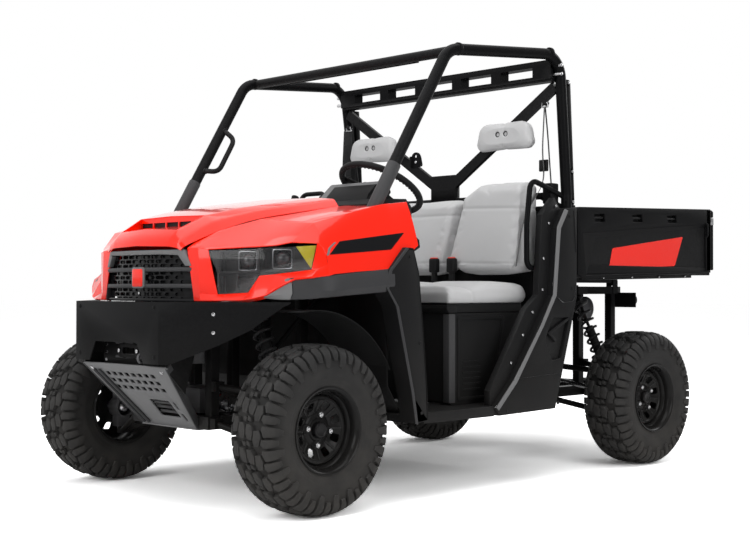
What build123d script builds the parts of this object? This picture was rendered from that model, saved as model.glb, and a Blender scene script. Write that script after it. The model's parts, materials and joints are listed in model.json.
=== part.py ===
"""Side-by-side utility vehicle: bench cab under a roll cage, tilting cargo box, four driven wheels.

Frame: +X forward, +Y to the vehicle's left, +Z up, origin on the ground below the middle of its box.
Sizes are millimetres. A point in a side view is (x, z), in a front view (y, z), in plan (x, y).
"""
from build123d import *
from math import cos, hypot, radians, sin
import os

os.makedirs("parts", exist_ok=True)

# ---------------------------------------------------------------- driving dimensions
FRONT_AXLE_X = 1200.0
REAR_AXLE_X = -950.0
FRONT_TRACK = 1346.0
REAR_TRACK = 1390.0
TYRE_RADIUS = 325.0
TYRE_WIDTH = 229.0
RIM_RADIUS = 152.0            # bead seat
RIM_LIP = 14.0                # lip above the bead seat
NOSE_X = 1630.0               # front face of the bumper plate
TAIL_X = -1563.0              # rear of the cargo box
RUN = 0.05                    # radial running clearance of a shaft in its bore
SEAT = 0.3                    # air under a part that rests on another body

AXLE_Z = TYRE_RADIUS

# frame
RAIL_Y = 230.0                # centre of each long rail
RAIL = 50.0                   # square rail section
RAIL_Z = 350.0                # top of the lower rails
POST = 40.0                   # square section of posts and cross beams
FRAME_FRONT = 1370.0
FRAME_REAR = -1450.0
UPPER_Z = 870.0               # top of the rear upper rails
COWL_Z = 1160.0               # top of the beam that carries the front posts
COWL_X = 860.0

# cab
FLOOR_T = 6.0
FLOOR_Z = RAIL_Z + FLOOR_T
FLOOR_FRONT = 760.0
FLOOR_REAR = -230.0
SILL_Y = 760.0
SILL_DROP = 43.0
SILL_FRONT = 668.0
SILL_REAR = 233.0
SIDE_Y = 765.0                # outer face of the rear side panels
TRIM_Y = 782.0                # outer face of the front side panels
SKIN = 5.0                    # moulded panel thickness
CAGE_TUBE = 50.0
CAGE_BEND = 110.0

# cargo box
BED_FRONT = -395.0
BED_HALF = 740.0
BED_WALL = 45.0
BED_FLOOR_Z = 930.0           # underside
BED_FLOOR = 40.0
BED_TOP = 1255.0
BED_HINGE_X = -1400.0
BED_HINGE_Z = 896.0
HINGE_PIN = 10.0              # radius
BED_RAIL = 40.0

# steering
KINGPIN_Y = 600.0
KINGPIN_R = 10.0
KNUCKLE_HALF = 85.0           # half height between the ball joints
RACK_X = 1110.0
RACK_Z = 380.0
RACK_R = 13.0
ROD_R = 9.0
ARM_PIN_Y = 515.0
SPINDLE_R = 22.0

# steering wheel
WHEEL_C = (587.0, 430.0, 1286.0)
WHEEL_D = 384.0
WHEEL_TILT = 59.0             # axis above the horizontal


# ---------------------------------------------------------------- helpers
def save(piece, name):
    """Label a finished piece and write its STEP file."""
    piece.part.label = name
    export_step(piece.part, f"parts/{name}.step")


def at_y(y):
    """Side-view plane at y: its x is X, its y is Z."""
    return Plane.XZ.offset(-y)


def at_x(x):
    """Front-view plane at x: its x is Y, its y is Z."""
    return Plane.YZ.offset(x)


def bar(start, end, width, depth=None, mode=Mode.ADD):
    """Rectangular bar between two points."""
    a, b = Vector(*start), Vector(*end)
    upright = Vector(0, 1, 0) if abs((b - a).normalized().Y) < 0.9 else Vector(1, 0, 0)
    with BuildSketch(Plane(origin=a, x_dir=upright, z_dir=b - a)) as section:
        Rectangle(width, depth or width)
    extrude(section.sketch, amount=(b - a).length, mode=mode)


def rod(start, end, radius, mode=Mode.ADD):
    """Round bar between two points."""
    a, b = Vector(*start), Vector(*end)
    with BuildSketch(Plane(origin=a, z_dir=b - a)) as section:
        Circle(radius)
    extrude(section.sketch, amount=(b - a).length, mode=mode)


def bent_tube(points, diameter, bend):
    """Round tube through points, with one bend radius at every corner."""
    with BuildLine() as path:
        FilletPolyline(*points, radius=bend)
    with BuildSketch(Plane(origin=path.line @ 0, z_dir=path.line % 0)) as section:
        Circle(diameter / 2)
    sweep(section.sketch, path=path.line)


def block(x, y, z, mode=Mode.ADD):
    """Box from three (low, high) pairs."""
    with BuildSketch(Plane.XY.offset(z[0])) as section:
        with Locations(((x[0] + x[1]) / 2, (y[0] + y[1]) / 2)):
            Rectangle(x[1] - x[0], y[1] - y[0])
    extrude(section.sketch, amount=z[1] - z[0], mode=mode)


def band(points, thickness):
    """Outline of a strip: the given line and the same line moved to its right by the thickness."""
    moved = []
    for i, (px, py) in enumerate(points):
        normals = []
        for j in (i - 1, i):
            if 0 <= j < len(points) - 1:
                dx, dy = points[j + 1][0] - points[j][0], points[j + 1][1] - points[j][1]
                length = hypot(dx, dy)
                normals.append((dy / length, -dx / length))
        nx = sum(n[0] for n in normals) / len(normals)
        ny = sum(n[1] for n in normals) / len(normals)
        scale = thickness / (nx * nx + ny * ny)
        moved.append((px + nx * scale, py + ny * scale))
    return list(points) + moved[::-1]


def shell_loft(sections, plane_at, thickness):
    """Thin moulded panel: strips of one thickness on parallel planes, joined by straight lines."""
    strips = []
    for place, line in sections:
        with BuildSketch(plane_at(place)) as strip:
            Polygon(*band(line, thickness), align=None)
        strips.append(strip.sketch)
    loft(strips, ruled=True)


def mirrored(piece):
    """The same piece on the vehicle's other side."""
    with BuildPart() as other:
        add(mirror(piece.part, about=Plane.XZ))
    return other


def both_sides(*pieces):
    """Pieces and their mirror images as one node of separate solids."""
    with BuildPart() as pairs:
        for piece in pieces:
            add(piece.part)
            add(mirror(piece.part, about=Plane.XZ))
    return pairs


# ================================================================ frame
# ---------------------------------------------------------------- lower frame: two rails, rungs, outriggers
RUNG_X = (1350.0, 1215.0, 960.0, 690.0, 350.0, -205.0, -520.0, -950.0, FRAME_REAR + POST / 2)
OUTRIGGER_X = (690.0, 215.0, -205.0)
OUTRIGGER_END = 700.0
OUTRIGGER = 35.0

with BuildPart() as lower_frame:
    for side in (1, -1):
        y = side * RAIL_Y
        block((FRAME_REAR, FRAME_FRONT), (y - RAIL / 2, y + RAIL / 2), (RAIL_Z - RAIL, RAIL_Z))
        for x in OUTRIGGER_X:
            bar((x, side * (RAIL_Y + RAIL / 2 - 1), RAIL_Z - OUTRIGGER / 2),
                (x, side * OUTRIGGER_END, RAIL_Z - OUTRIGGER / 2), POST, OUTRIGGER)
    for x in RUNG_X:
        block((x - POST / 2, x + POST / 2), (-RAIL_Y, RAIL_Y), (RAIL_Z - RAIL, RAIL_Z))
save(lower_frame, "lower_frame")

# ---------------------------------------------------------------- front frame: posts, top rails, shock beam
POST_TOP_Z = 860.0
FRONT_POST_X = (1066.0, 1330.0)      # the upper arms pivot on these
STRUT_Z = 700.0                      # bumper struts
PLATE = 6.0                          # bumper plate thickness
HOOD_HINGE_X = 876.0
HOOD_HINGE_Z = 1200.0
HOOD_HINGE_Y = 300.0
HOOD_LUG = 30.0
HOOD_PIN = 5.0
SHOCK_TOP_Y = 330.0

with BuildPart() as front_frame:
    for side in (1, -1):
        y = side * RAIL_Y
        for x in FRONT_POST_X:
            bar((x, y, RAIL_Z), (x, y, POST_TOP_Z), POST)
        bar((FRONT_POST_X[1], y, POST_TOP_Z - POST / 2), (FRONT_POST_X[0], y, POST_TOP_Z - POST / 2), POST)
        bar((FRONT_POST_X[0], y, POST_TOP_Z - POST / 2), (COWL_X, y, COWL_Z - POST / 2), POST)
        bar((FRONT_POST_X[1], y, STRUT_Z), (NOSE_X - PLATE, y, STRUT_Z), POST)
        bar((COWL_X, y, RAIL_Z), (COWL_X, y, COWL_Z - POST), POST)
        block((FRONT_AXLE_X - 40, FRONT_AXLE_X + 40), sorted((side * RAIL_Y, side * (SHOCK_TOP_Y + 35))),
              (POST_TOP_Z - POST, POST_TOP_Z))
    for x in FRONT_POST_X:
        block((x - POST / 2, x + POST / 2), (-RAIL_Y, RAIL_Y), (POST_TOP_Z - POST, POST_TOP_Z))
    block((COWL_X - POST / 2, COWL_X + POST / 2), (-683, 683), (COWL_Z - POST, COWL_Z))
    for y in (HOOD_HINGE_Y, -HOOD_HINGE_Y):
        for inner in (HOOD_LUG / 2 + 1, -HOOD_LUG / 2 - 1):
            outer = inner + (5 if inner > 0 else -5)
            block((HOOD_HINGE_X - 12, HOOD_HINGE_X + 12), sorted((y + inner, y + outer)),
                  (COWL_Z - POST / 2, HOOD_HINGE_Z + 9))
        rod((HOOD_HINGE_X, y - HOOD_LUG / 2 - 6, HOOD_HINGE_Z), (HOOD_HINGE_X, y + HOOD_LUG / 2 + 6, HOOD_HINGE_Z),
            HOOD_PIN)
save(front_frame, "front_frame")

# ---------------------------------------------------------------- rear frame: posts, upper rails, hinge ears
REAR_POST_X = (-359.0, -810.0, -1090.0, -1380.0)
EAR_T = 6.0
EAR_R = 22.0
BED_RAIL_HALF = 15.0
B_POST_X, B_POST_Y = -359.0, 700.0
PAD_X = -450.0

with BuildPart() as rear_frame:
    for side in (1, -1):
        y = side * RAIL_Y
        for x in REAR_POST_X:
            bar((x, y, RAIL_Z), (x, y, UPPER_Z - 1), POST)
        block((FRAME_REAR, B_POST_X), (y - POST / 2, y + POST / 2), (UPPER_Z - POST, UPPER_Z))
        block((REAR_AXLE_X - 40, REAR_AXLE_X + 40), sorted((side * RAIL_Y, side * (SHOCK_TOP_Y + 35))),
              (UPPER_Z - POST, UPPER_Z))
        for inner in (side * (BED_RAIL_HALF + 1.5), -side * (BED_RAIL_HALF + 1.5)):
            outer = inner + (EAR_T if inner > 0 else -EAR_T)
            with BuildSketch(at_y(y + inner)):
                with Locations((BED_HINGE_X, BED_HINGE_Z)):
                    Circle(EAR_R)
                with Locations((BED_HINGE_X, (BED_HINGE_Z + UPPER_Z - POST) / 2)):
                    Rectangle(2 * EAR_R, BED_HINGE_Z - UPPER_Z + POST)
            extrude(amount=inner - outer)
        rod((BED_HINGE_X, y - BED_RAIL_HALF - EAR_T, BED_HINGE_Z),
            (BED_HINGE_X, y + BED_RAIL_HALF + EAR_T, BED_HINGE_Z), HINGE_PIN)
        block((PAD_X - 30, PAD_X + 30), (y - 20, y + 20), (UPPER_Z - 1, BED_FLOOR_Z - BED_RAIL - SEAT))
    for x in REAR_POST_X:
        block((x - POST / 2, x + POST / 2), (-RAIL_Y, RAIL_Y), (UPPER_Z - POST, UPPER_Z))
    block((B_POST_X - 25, B_POST_X + 25), (-B_POST_Y - 25, B_POST_Y + 25), (UPPER_Z - POST, UPPER_Z))
save(rear_frame, "rear_frame")

# ================================================================ running gear
BARREL_R = RIM_RADIUS - 6
DISC_OFFSET = 25.0             # wheel disc outboard of the rim's middle
HUB_R = 36.0
HUB_CAP = 12.0
RIM_HALF = 102.0
BEAD_HALF = RIM_HALF - 14.0
LIP_R = RIM_RADIUS + RIM_LIP
HOLE_COUNT = 12


def wheel_centre(axle_x, track, side):
    """Middle of one wheel."""
    return (axle_x, side * track / 2, AXLE_Z)


def make_tyre(centre):
    """Tyre out to the tips of its lugs, open inside down to the bead seats."""
    half = TYRE_WIDTH / 2
    profile = [(-BEAD_HALF, RIM_RADIUS), (-half, RIM_RADIUS + 45), (-half, TYRE_RADIUS - 55),
               (-half * 0.80, TYRE_RADIUS - 6), (-half * 0.4, TYRE_RADIUS), (half * 0.4, TYRE_RADIUS),
               (half * 0.80, TYRE_RADIUS - 6), (half, TYRE_RADIUS - 55), (half, RIM_RADIUS + 45),
               (BEAD_HALF, RIM_RADIUS)]
    with BuildPart() as tyre:
        with BuildSketch(Plane(origin=centre, x_dir=(0, 1, 0), z_dir=(1, 0, 0))):
            Polygon(*profile, align=None)
        revolve(axis=Axis(centre, (0, 1, 0)))
    return tyre


def make_rim(centre, side):
    """Stepped steel wheel with its hub: barrel, pierced disc, blind bore for the spindle."""
    cx, cy, cz = centre
    disc = side * DISC_OFFSET
    # section from the axis outwards: y from the middle of the rim, radius
    barrel = [(-RIM_HALF, LIP_R), (-RIM_HALF + 5, LIP_R), (-RIM_HALF + 12, RIM_RADIUS),
              (RIM_HALF - 12, RIM_RADIUS), (RIM_HALF - 5, LIP_R), (RIM_HALF, LIP_R),
              (RIM_HALF, RIM_RADIUS - 2), (RIM_HALF - 8, BARREL_R), (-RIM_HALF + 8, BARREL_R),
              (-RIM_HALF, RIM_RADIUS - 2)]
    dish = [(disc, 0), (disc, 70), (disc + side * 18, 95), (disc + side * 18, 118), (disc, BARREL_R + 2),
            (disc - side * 6, BARREL_R + 2), (disc + side * 11, 116), (disc + side * 11, 97),
            (disc - side * 7, 71), (disc - side * 7, 0)]
    hub_in = 641.0 if abs(cy) < 680 else 663.0
    hub_start = side * (hub_in - abs(cy))
    hub_end = disc + side * HUB_CAP * 2
    with BuildPart() as rim:
        with BuildSketch(Plane(origin=centre, x_dir=(0, 1, 0), z_dir=(1, 0, 0))):
            Polygon(*barrel, align=None)
            Polygon(*dish, align=None)
            Polygon((hub_start, 0), (hub_start, HUB_R), (hub_end - side * 6, HUB_R), (hub_end, HUB_R - 8),
                    (hub_end, 0), align=None)
        revolve(axis=Axis(centre, (0, 1, 0)))
        with BuildSketch(Plane(origin=(cx, cy + hub_start, cz), z_dir=(0, side, 0))):
            Circle(SPINDLE_R + RUN)
        extrude(amount=abs(hub_end - hub_start) - HUB_CAP, mode=Mode.SUBTRACT)
        with BuildSketch(Plane(origin=(cx, cy + disc - side * 15, cz), z_dir=(0, side, 0))):
            with PolarLocations(106, HOLE_COUNT):
                Circle(9)
        extrude(amount=60, mode=Mode.SUBTRACT)
    return rim


# name, axle x, track, side
WHEELS = (("front_left", FRONT_AXLE_X, FRONT_TRACK, 1), ("front_right", FRONT_AXLE_X, FRONT_TRACK, -1),
          ("rear_left", REAR_AXLE_X, REAR_TRACK, 1), ("rear_right", REAR_AXLE_X, REAR_TRACK, -1))

for name, axle_x, track, side in WHEELS:
    save(make_tyre(wheel_centre(axle_x, track, side)), f"tyre_{name}")
    save(make_rim(wheel_centre(axle_x, track, side), side), f"rim_{name}")


def make_upright(axle_x, pivot_y, track, steered):
    """Left hub carrier: post between the ball joints, bored hub boss, spindle, and a steering arm."""
    hub_face = 640.0 if steered else 662.0
    spindle_end = track / 2 + DISC_OFFSET + 2 * HUB_CAP - HUB_CAP - 2
    with BuildPart() as upright:
        block((axle_x - 32, axle_x + 32), (pivot_y - 15, pivot_y + 25),
              (AXLE_Z - KNUCKLE_HALF, AXLE_Z + KNUCKLE_HALF))
        rod((axle_x, pivot_y - 28, AXLE_Z), (axle_x, hub_face, AXLE_Z), 46)
        rod((axle_x, pivot_y + 30, AXLE_Z), (axle_x, spindle_end, AXLE_Z), SPINDLE_R)
        if steered:
            with BuildSketch(Plane.XY.offset(RACK_Z - 28)):
                Polygon((axle_x - 8, pivot_y - 14), (axle_x - 8, pivot_y + 20), (axle_x - 30, pivot_y + 20),
                        (RACK_X - 12, ARM_PIN_Y + 6), (RACK_X - 6, ARM_PIN_Y - 12), (RACK_X + 10, ARM_PIN_Y - 12),
                        align=None)
            extrude(amount=16)
        with BuildSketch(Plane(origin=(axle_x, pivot_y - 28, AXLE_Z), z_dir=(0, 1, 0))):
            Circle(38)
        extrude(amount=62, mode=Mode.SUBTRACT)
        for end in (-1, 1):
            with BuildSketch(Plane.XY.offset(AXLE_Z + end * KNUCKLE_HALF)):
                with Locations((axle_x, pivot_y)):
                    Circle(KINGPIN_R + RUN)
            extrude(amount=-end * 22, mode=Mode.SUBTRACT)
    return upright


knuckle_left = make_upright(FRONT_AXLE_X, KINGPIN_Y, FRONT_TRACK, True)
save(knuckle_left, "knuckle_left")
save(mirrored(knuckle_left), "knuckle_right")
REAR_PIVOT_Y = 622.0
save(both_sides(make_upright(REAR_AXLE_X, REAR_PIVOT_Y, REAR_TRACK, False)), "rear_uprights")

# ---------------------------------------------------------------- suspension arms
ARM_R = 14.0
SHOCK_INSET = 130.0            # shock seat inboard of the ball joint
LOWER_PIVOT_Z = RAIL_Z - RAIL / 2
UPPER_PIVOT_Z = 470.0
RAIL_FACE = RAIL_Y + RAIL / 2
POST_FACE = RAIL_Y + POST / 2
BALL_Z = KNUCKLE_HALF + SEAT


def make_arm(axle_x, pivot_y, face_y, inner_z, inner_x, up):
    """One wishbone: two legs from the frame's face to the ball joint, whose pin enters the upright."""
    boss_z = AXLE_Z + up * BALL_Z
    tip = (axle_x, pivot_y - 8, boss_z + up * 20)
    with BuildPart() as arm:
        for x in inner_x:
            block((x - 20, x + 20), (face_y, face_y + 32), (inner_z - 20, inner_z + 20))
            rod((x, face_y + 16, inner_z), tip, ARM_R)
        if up > 0:
            share = (pivot_y - SHOCK_INSET - face_y - 16) / (tip[1] - face_y - 16)
            seat = [(x + (axle_x - x) * share, pivot_y - SHOCK_INSET, inner_z + (tip[2] - inner_z) * share)
                    for x in inner_x]
            rod(seat[0], seat[1], ARM_R)
        with BuildSketch(Plane.XY.offset(boss_z)):
            with Locations((axle_x, pivot_y)):
                Circle(20)
        extrude(amount=up * 30)
        with BuildSketch(Plane.XY.offset(boss_z)):
            with Locations((axle_x, pivot_y)):
                Circle(KINGPIN_R)
        extrude(amount=-up * 20)
    return arm


# node, axle x, ball joint y, x of the lower arm's inner pivots, x of the upper arm's
ARMS = (("front_arms", FRONT_AXLE_X, KINGPIN_Y, (1050.0, 1340.0), FRONT_POST_X),
        ("rear_arms", REAR_AXLE_X, REAR_PIVOT_Y, (-690.0, -1110.0), REAR_POST_X[1:3]))
for name, axle_x, pivot_y, lower_x, upper_x in ARMS:
    save(both_sides(make_arm(axle_x, pivot_y, RAIL_FACE, LOWER_PIVOT_Z, lower_x, -1),
                    make_arm(axle_x, pivot_y, POST_FACE, UPPER_PIVOT_Z, upper_x, 1)), name)

# ---------------------------------------------------------------- shocks: damper with a coil spring round it
SHOCK_R = 22.0
SPRING_R = 40.0                # outside of the coil
SPRING_WIRE = 6.0              # radius
EYE_R = 16.0


def shock_line(axle_x, pivot_y):
    """Centres of the left shock's eyes: on the upper arm's cross bar, and under the frame's bracket."""
    tip_z = AXLE_Z + BALL_Z + 20
    share = (pivot_y - SHOCK_INSET - POST_FACE - 16) / (pivot_y - 8 - POST_FACE - 16)
    bar_z = UPPER_PIVOT_Z + (tip_z - UPPER_PIVOT_Z) * share
    low = Vector(axle_x, pivot_y - SHOCK_INSET, bar_z + ARM_R + EYE_R)
    bracket = POST_TOP_Z if axle_x > 0 else UPPER_Z
    return low, Vector(axle_x, SHOCK_TOP_Y, bracket - POST - EYE_R)


def make_damper(axle_x, pivot_y):
    """Damper body, rod, spring plates and eyes."""
    low, high = shock_line(axle_x, pivot_y)
    span = high - low
    with BuildPart() as damper:
        rod(low, low + span * 0.55, SHOCK_R)
        rod(low, high, 8)
        for end in (low, high):
            rod(end - Vector(15, 0, 0), end + Vector(15, 0, 0), EYE_R)
        rod(low + span * 0.14, low + span * 0.18, SPRING_R + 3)
        rod(low + span * 0.86, low + span * 0.90, SPRING_R + 3)
    return damper


AXLES = ((FRONT_AXLE_X, KINGPIN_Y), (REAR_AXLE_X, REAR_PIVOT_Y))
save(both_sides(*(make_damper(axle_x, pivot_y) for axle_x, pivot_y in AXLES)), "dampers")

# ---------------------------------------------------------------- driveline
GEARCASE_Y = 120.0
SHAFT_R = 12.0
SHAFT_IN_Z = 395.0

with BuildPart() as gearcases:
    block((1140, 1290), (-GEARCASE_Y + 25, GEARCASE_Y - 25), (RAIL_Z, 450))
    for side in (1, -1):
        rod((FRONT_AXLE_X, side * (GEARCASE_Y - 25), SHAFT_IN_Z), (FRONT_AXLE_X, side * GEARCASE_Y, SHAFT_IN_Z), 38)
    block((-1070, -845), (-GEARCASE_Y + 15, GEARCASE_Y - 15), (RAIL_Z, 560))
    for side in (1, -1):
        rod((REAR_AXLE_X, side * (GEARCASE_Y - 15), SHAFT_IN_Z), (REAR_AXLE_X, side * GEARCASE_Y, SHAFT_IN_Z), 42)
save(gearcases, "gearcases")

with BuildPart() as engine:
    block((-840, -385), (-190, 190), (RAIL_Z, 790))
save(engine, "engine")


def make_half_shaft(axle_x, pivot_y):
    """Left drive shaft with a boot at its inner joint and a ball at its outer one."""
    inner = (axle_x, GEARCASE_Y, SHAFT_IN_Z)
    outer = (axle_x, pivot_y, AXLE_Z)
    a, b = Vector(*inner), Vector(*outer)
    with BuildPart() as shaft:
        rod(inner, outer, SHAFT_R)
        rod(inner, a + (b - a) * 0.14, 33)
        with Locations(outer):
            Sphere(28)
        split(bisect_by=at_y(GEARCASE_Y), keep=Keep.BOTTOM)
    return shaft


save(both_sides(*(make_half_shaft(axle_x, pivot_y) for axle_x, pivot_y in AXLES)), "half_shafts")

# ---------------------------------------------------------------- steering: rack housing, rack with tie rods
RACK_HALF = 250.0
with BuildPart() as rack_housing:
    rod((RACK_X, -RACK_HALF, RACK_Z), (RACK_X, RACK_HALF, RACK_Z), RACK_R + 10)
    for side in (1, -1):
        block((RACK_X - 18, RACK_X + 18), sorted((side * (RAIL_Y - 20), side * (RAIL_Y + 15))), (RAIL_Z, RACK_Z))
    with BuildSketch(Plane(origin=(RACK_X, -RACK_HALF, RACK_Z), z_dir=(0, 1, 0))):
        Circle(RACK_R + RUN)
    extrude(amount=2 * RACK_HALF, mode=Mode.SUBTRACT)
    rod((RACK_X, 130, RACK_Z + RACK_R + 4), (RACK_X, 130, RACK_Z + 60), 22)

with BuildPart() as tie_rods:
    rod((RACK_X, -RACK_HALF - 70, RACK_Z), (RACK_X, RACK_HALF + 70, RACK_Z), RACK_R)
    rod((RACK_X, -ARM_PIN_Y, RACK_Z), (RACK_X, ARM_PIN_Y, RACK_Z), ROD_R)
    for side in (1, -1):
        rod((RACK_X, side * ARM_PIN_Y, RACK_Z - 11), (RACK_X, side * ARM_PIN_Y, RACK_Z + 11), 13)
save(tie_rods, "rack_and_tie_rods")

COLUMN_R = 28.0
AXIS_DIR = Vector(-cos(radians(WHEEL_TILT)), 0, sin(radians(WHEEL_TILT)))
HUB_TOP = Vector(*WHEEL_C) - AXIS_DIR * 20
COLUMN_TOP = HUB_TOP - AXIS_DIR * 12
COLUMN_LOW = HUB_TOP - AXIS_DIR * 330
PINION_TOP = Vector(RACK_X, 130, RACK_Z + 50)

with BuildPart() as steering_wheel:
    wheel_plane = Plane(origin=WHEEL_C, x_dir=(0, 1, 0), z_dir=AXIS_DIR)
    with BuildLine(wheel_plane) as rim_line:
        CenterArc((0, 0), WHEEL_D / 2 - 14, 0, 360)
    with BuildSketch(Plane(origin=rim_line.line @ 0, z_dir=rim_line.line % 0)):
        Circle(14)
    sweep(path=rim_line.line)
    for angle in (0, 120, 240):
        spoke = Vector(0, sin(radians(angle)), 0) + wheel_plane.y_dir * cos(radians(angle))
        bar(HUB_TOP + AXIS_DIR * 8, Vector(*WHEEL_C) + spoke * (WHEEL_D / 2 - 14), 26, 8)
    rod(HUB_TOP, HUB_TOP + AXIS_DIR * 26, 40)
    rod(HUB_TOP - AXIS_DIR * 40, HUB_TOP, 12)
save(steering_wheel, "steering_wheel")

with BuildPart() as steering_column:
    rod(COLUMN_LOW, HUB_TOP - AXIS_DIR * 6, COLUMN_R)
    with BuildSketch(Plane(origin=HUB_TOP, z_dir=-AXIS_DIR)):
        Circle(12 + RUN)
    extrude(amount=41, mode=Mode.SUBTRACT)
    rod(COLUMN_LOW + AXIS_DIR * 10, PINION_TOP, 10)
    add(rack_housing.part)
save(steering_column, "steering_column")

# ================================================================ cab floor and body
# ---------------------------------------------------------------- floor pan with turned-down sills
with BuildPart() as floor_pan:
    block((FLOOR_REAR, FLOOR_FRONT), (-OUTRIGGER_END, OUTRIGGER_END), (RAIL_Z, FLOOR_Z))
    block((SILL_REAR, SILL_FRONT), (-SILL_Y, SILL_Y), (RAIL_Z, FLOOR_Z))
    for side in (1, -1):
        block((SILL_REAR, SILL_FRONT), sorted((side * (SILL_Y - FLOOR_T), side * SILL_Y)),
              (RAIL_Z - SILL_DROP + FLOOR_T, RAIL_Z))
save(floor_pan, "floor_pan")

# ---------------------------------------------------------------- firewall: toe board rising to the dash
DASH_FRONT = 838.0
FIREWALL_HALF = 690.0
TOE_X = 805.0                  # front of the toe board, where the wheel housings meet it
with BuildPart() as firewall:
    with BuildSketch(at_y(0)):
        Polygon(*band([(TOE_X - 205, FLOOR_Z + FLOOR_T), (TOE_X - 70, FLOOR_Z + FLOOR_T), (TOE_X, 470),
                       (TOE_X + 10, 905)], FLOOR_T), align=None)
    extrude(amount=FIREWALL_HALF, both=True)
    rod(COLUMN_LOW, PINION_TOP, 20, mode=Mode.SUBTRACT)
# ---------------------------------------------------------------- wheel housings, in one moulding with the firewall
HOUSING_R = FRONT_AXLE_X - TOE_X + 57
with BuildPart() as wheel_housings:
    for side in (1, -1):
        with BuildSketch(at_y(side * 560)):
            with Locations((FRONT_AXLE_X, AXLE_Z)):
                Circle(HOUSING_R)
                Circle(HOUSING_R - SKIN, mode=Mode.SUBTRACT)
            with Locations((FRONT_AXLE_X, AXLE_Z - HOUSING_R / 2 + 70)):
                Rectangle(2 * HOUSING_R + 10, HOUSING_R + 140, mode=Mode.SUBTRACT)
        extrude(amount=140, both=True)
    block((1268, 1700), (-800, 800), (300, 900), mode=Mode.SUBTRACT)
    block((FRONT_AXLE_X - HOUSING_R - 50, TOE_X - 2), (-800, 800), (300, 900), mode=Mode.SUBTRACT)
    add(firewall.part)
save(wheel_housings, "firewall")

# ---------------------------------------------------------------- dash: top pad, face and knee roll
DASH_HALF = 630.0
with BuildPart() as dash:
    with BuildSketch(at_y(0)):
        Polygon((DASH_FRONT, 905), (DASH_FRONT, 1200), (800, 1222), (640, 1228), (610, 1200), (600, 1090),
                (560, 1060), (555, 1030), (640, 985), (720, 905), align=None)
    extrude(amount=DASH_HALF, both=True)
    with BuildSketch(at_y(WHEEL_C[1])):
        Polygon((800, 1210), (785, 1245), (740, 1288), (705, 1290), (690, 1210), align=None)
    extrude(amount=125, both=True)
    with BuildSketch(at_y(-330)):
        Polygon((590, 1085), (590, 1180), (612, 1200), (700, 1200), (700, 1085), align=None)
    extrude(amount=150, both=True, mode=Mode.SUBTRACT)
    rod(COLUMN_LOW - AXIS_DIR * 200, HUB_TOP, COLUMN_R + RUN, mode=Mode.SUBTRACT)
    rod(COLUMN_LOW, PINION_TOP, 20, mode=Mode.SUBTRACT)
save(dash, "dash")

# ---------------------------------------------------------------- seats
SEAT_FRONT = 350.0
SEAT_REAR = -170.0
SEAT_HALF = 610.0
SEAT_BASE_TOP = 752.0
CUSHION_HALF = 640.0
CUSHION_TOP = 880.0
BASE_WALL = 8.0

with BuildPart() as seat_base:
    with BuildSketch(at_y(0)):
        Polygon((SEAT_REAR, FLOOR_Z), (SEAT_FRONT - 12, FLOOR_Z), (SEAT_FRONT, 372), (SEAT_FRONT, SEAT_BASE_TOP),
                (SEAT_REAR, SEAT_BASE_TOP), align=None)
    extrude(amount=SEAT_HALF, both=True)
    with BuildSketch(at_y(0)):
        Polygon((SEAT_REAR, FLOOR_Z), (SEAT_FRONT - BASE_WALL, FLOOR_Z),
                (SEAT_FRONT - BASE_WALL, SEAT_BASE_TOP - BASE_WALL), (SEAT_REAR, SEAT_BASE_TOP - BASE_WALL),
                align=None)
    extrude(amount=SEAT_HALF - BASE_WALL, both=True, mode=Mode.SUBTRACT)
save(seat_base, "seat_base")

with BuildPart() as seat_cushion:
    with BuildSketch(at_y(0)):
        Polygon((-150, SEAT_BASE_TOP), (372, SEAT_BASE_TOP), (390, 775), (392, 845), (350, CUSHION_TOP - 6),
                (0, CUSHION_TOP), (-166, CUSHION_TOP - 22), (-166, 790), align=None)
    extrude(amount=CUSHION_HALF, both=True)
save(seat_cushion, "seat_cushion")

# low and high y, top z: driver, middle and passenger back rests
BACKS = ((278.0, 640.0, 1355.0), (-262.0, 262.0, 1291.0), (-640.0, -278.0, 1355.0))
BACK_LOW = 905.0
BACK_REAR_X = -236.0
with BuildPart() as seat_backs:
    for low, high, top in BACKS:
        with BuildSketch(at_y((low + high) / 2)):
            Polygon((-70, BACK_LOW), (-52, 935), (-84, top - 70), (-112, top - 8), (-150, top), (BACK_REAR_X, top - 20),
                    (BACK_REAR_X, 925), (-200, BACK_LOW), align=None)
        extrude(amount=(high - low) / 2, both=True)
save(seat_backs, "seat_backs")

# ---------------------------------------------------------------- roll cage
ROOF_FRONT = (431.0, 675.0, 1871.0)
ROOF_REAR = (-283.0, 718.0, 1934.0)
A_FOOT = (899.0, 661.3, COWL_Z - 40)
B_FOOT = (B_POST_X, B_POST_Y, UPPER_Z)
HEADER_INSET = 24.0

with BuildPart() as cage_left:
    bent_tube((A_FOOT, ROOF_FRONT, ROOF_REAR, (B_POST_X, B_POST_Y, 1300.0), B_FOOT), CAGE_TUBE, CAGE_BEND)
    block((700, 1000), (500, 800), (COWL_Z - 80, COWL_Z), mode=Mode.SUBTRACT)
cage_hoops = both_sides(cage_left)
save(cage_hoops, "cage_hoops")


def cage_y(x):
    """Middle of the left roof tube at x."""
    t = (x - ROOF_REAR[0]) / (ROOF_FRONT[0] - ROOF_REAR[0])
    return ROOF_REAR[1] + t * (ROOF_FRONT[1] - ROOF_REAR[1])


def cage_z(x):
    """Middle height of the roof tube at x."""
    t = (x - ROOF_REAR[0]) / (ROOF_FRONT[0] - ROOF_REAR[0])
    return ROOF_REAR[2] + t * (ROOF_FRONT[2] - ROOF_REAR[2])


REAR_HEADER_LOW = 1811.0
REAR_WINDOWS = 5
FRONT_HEADER_X = 365.0


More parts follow.
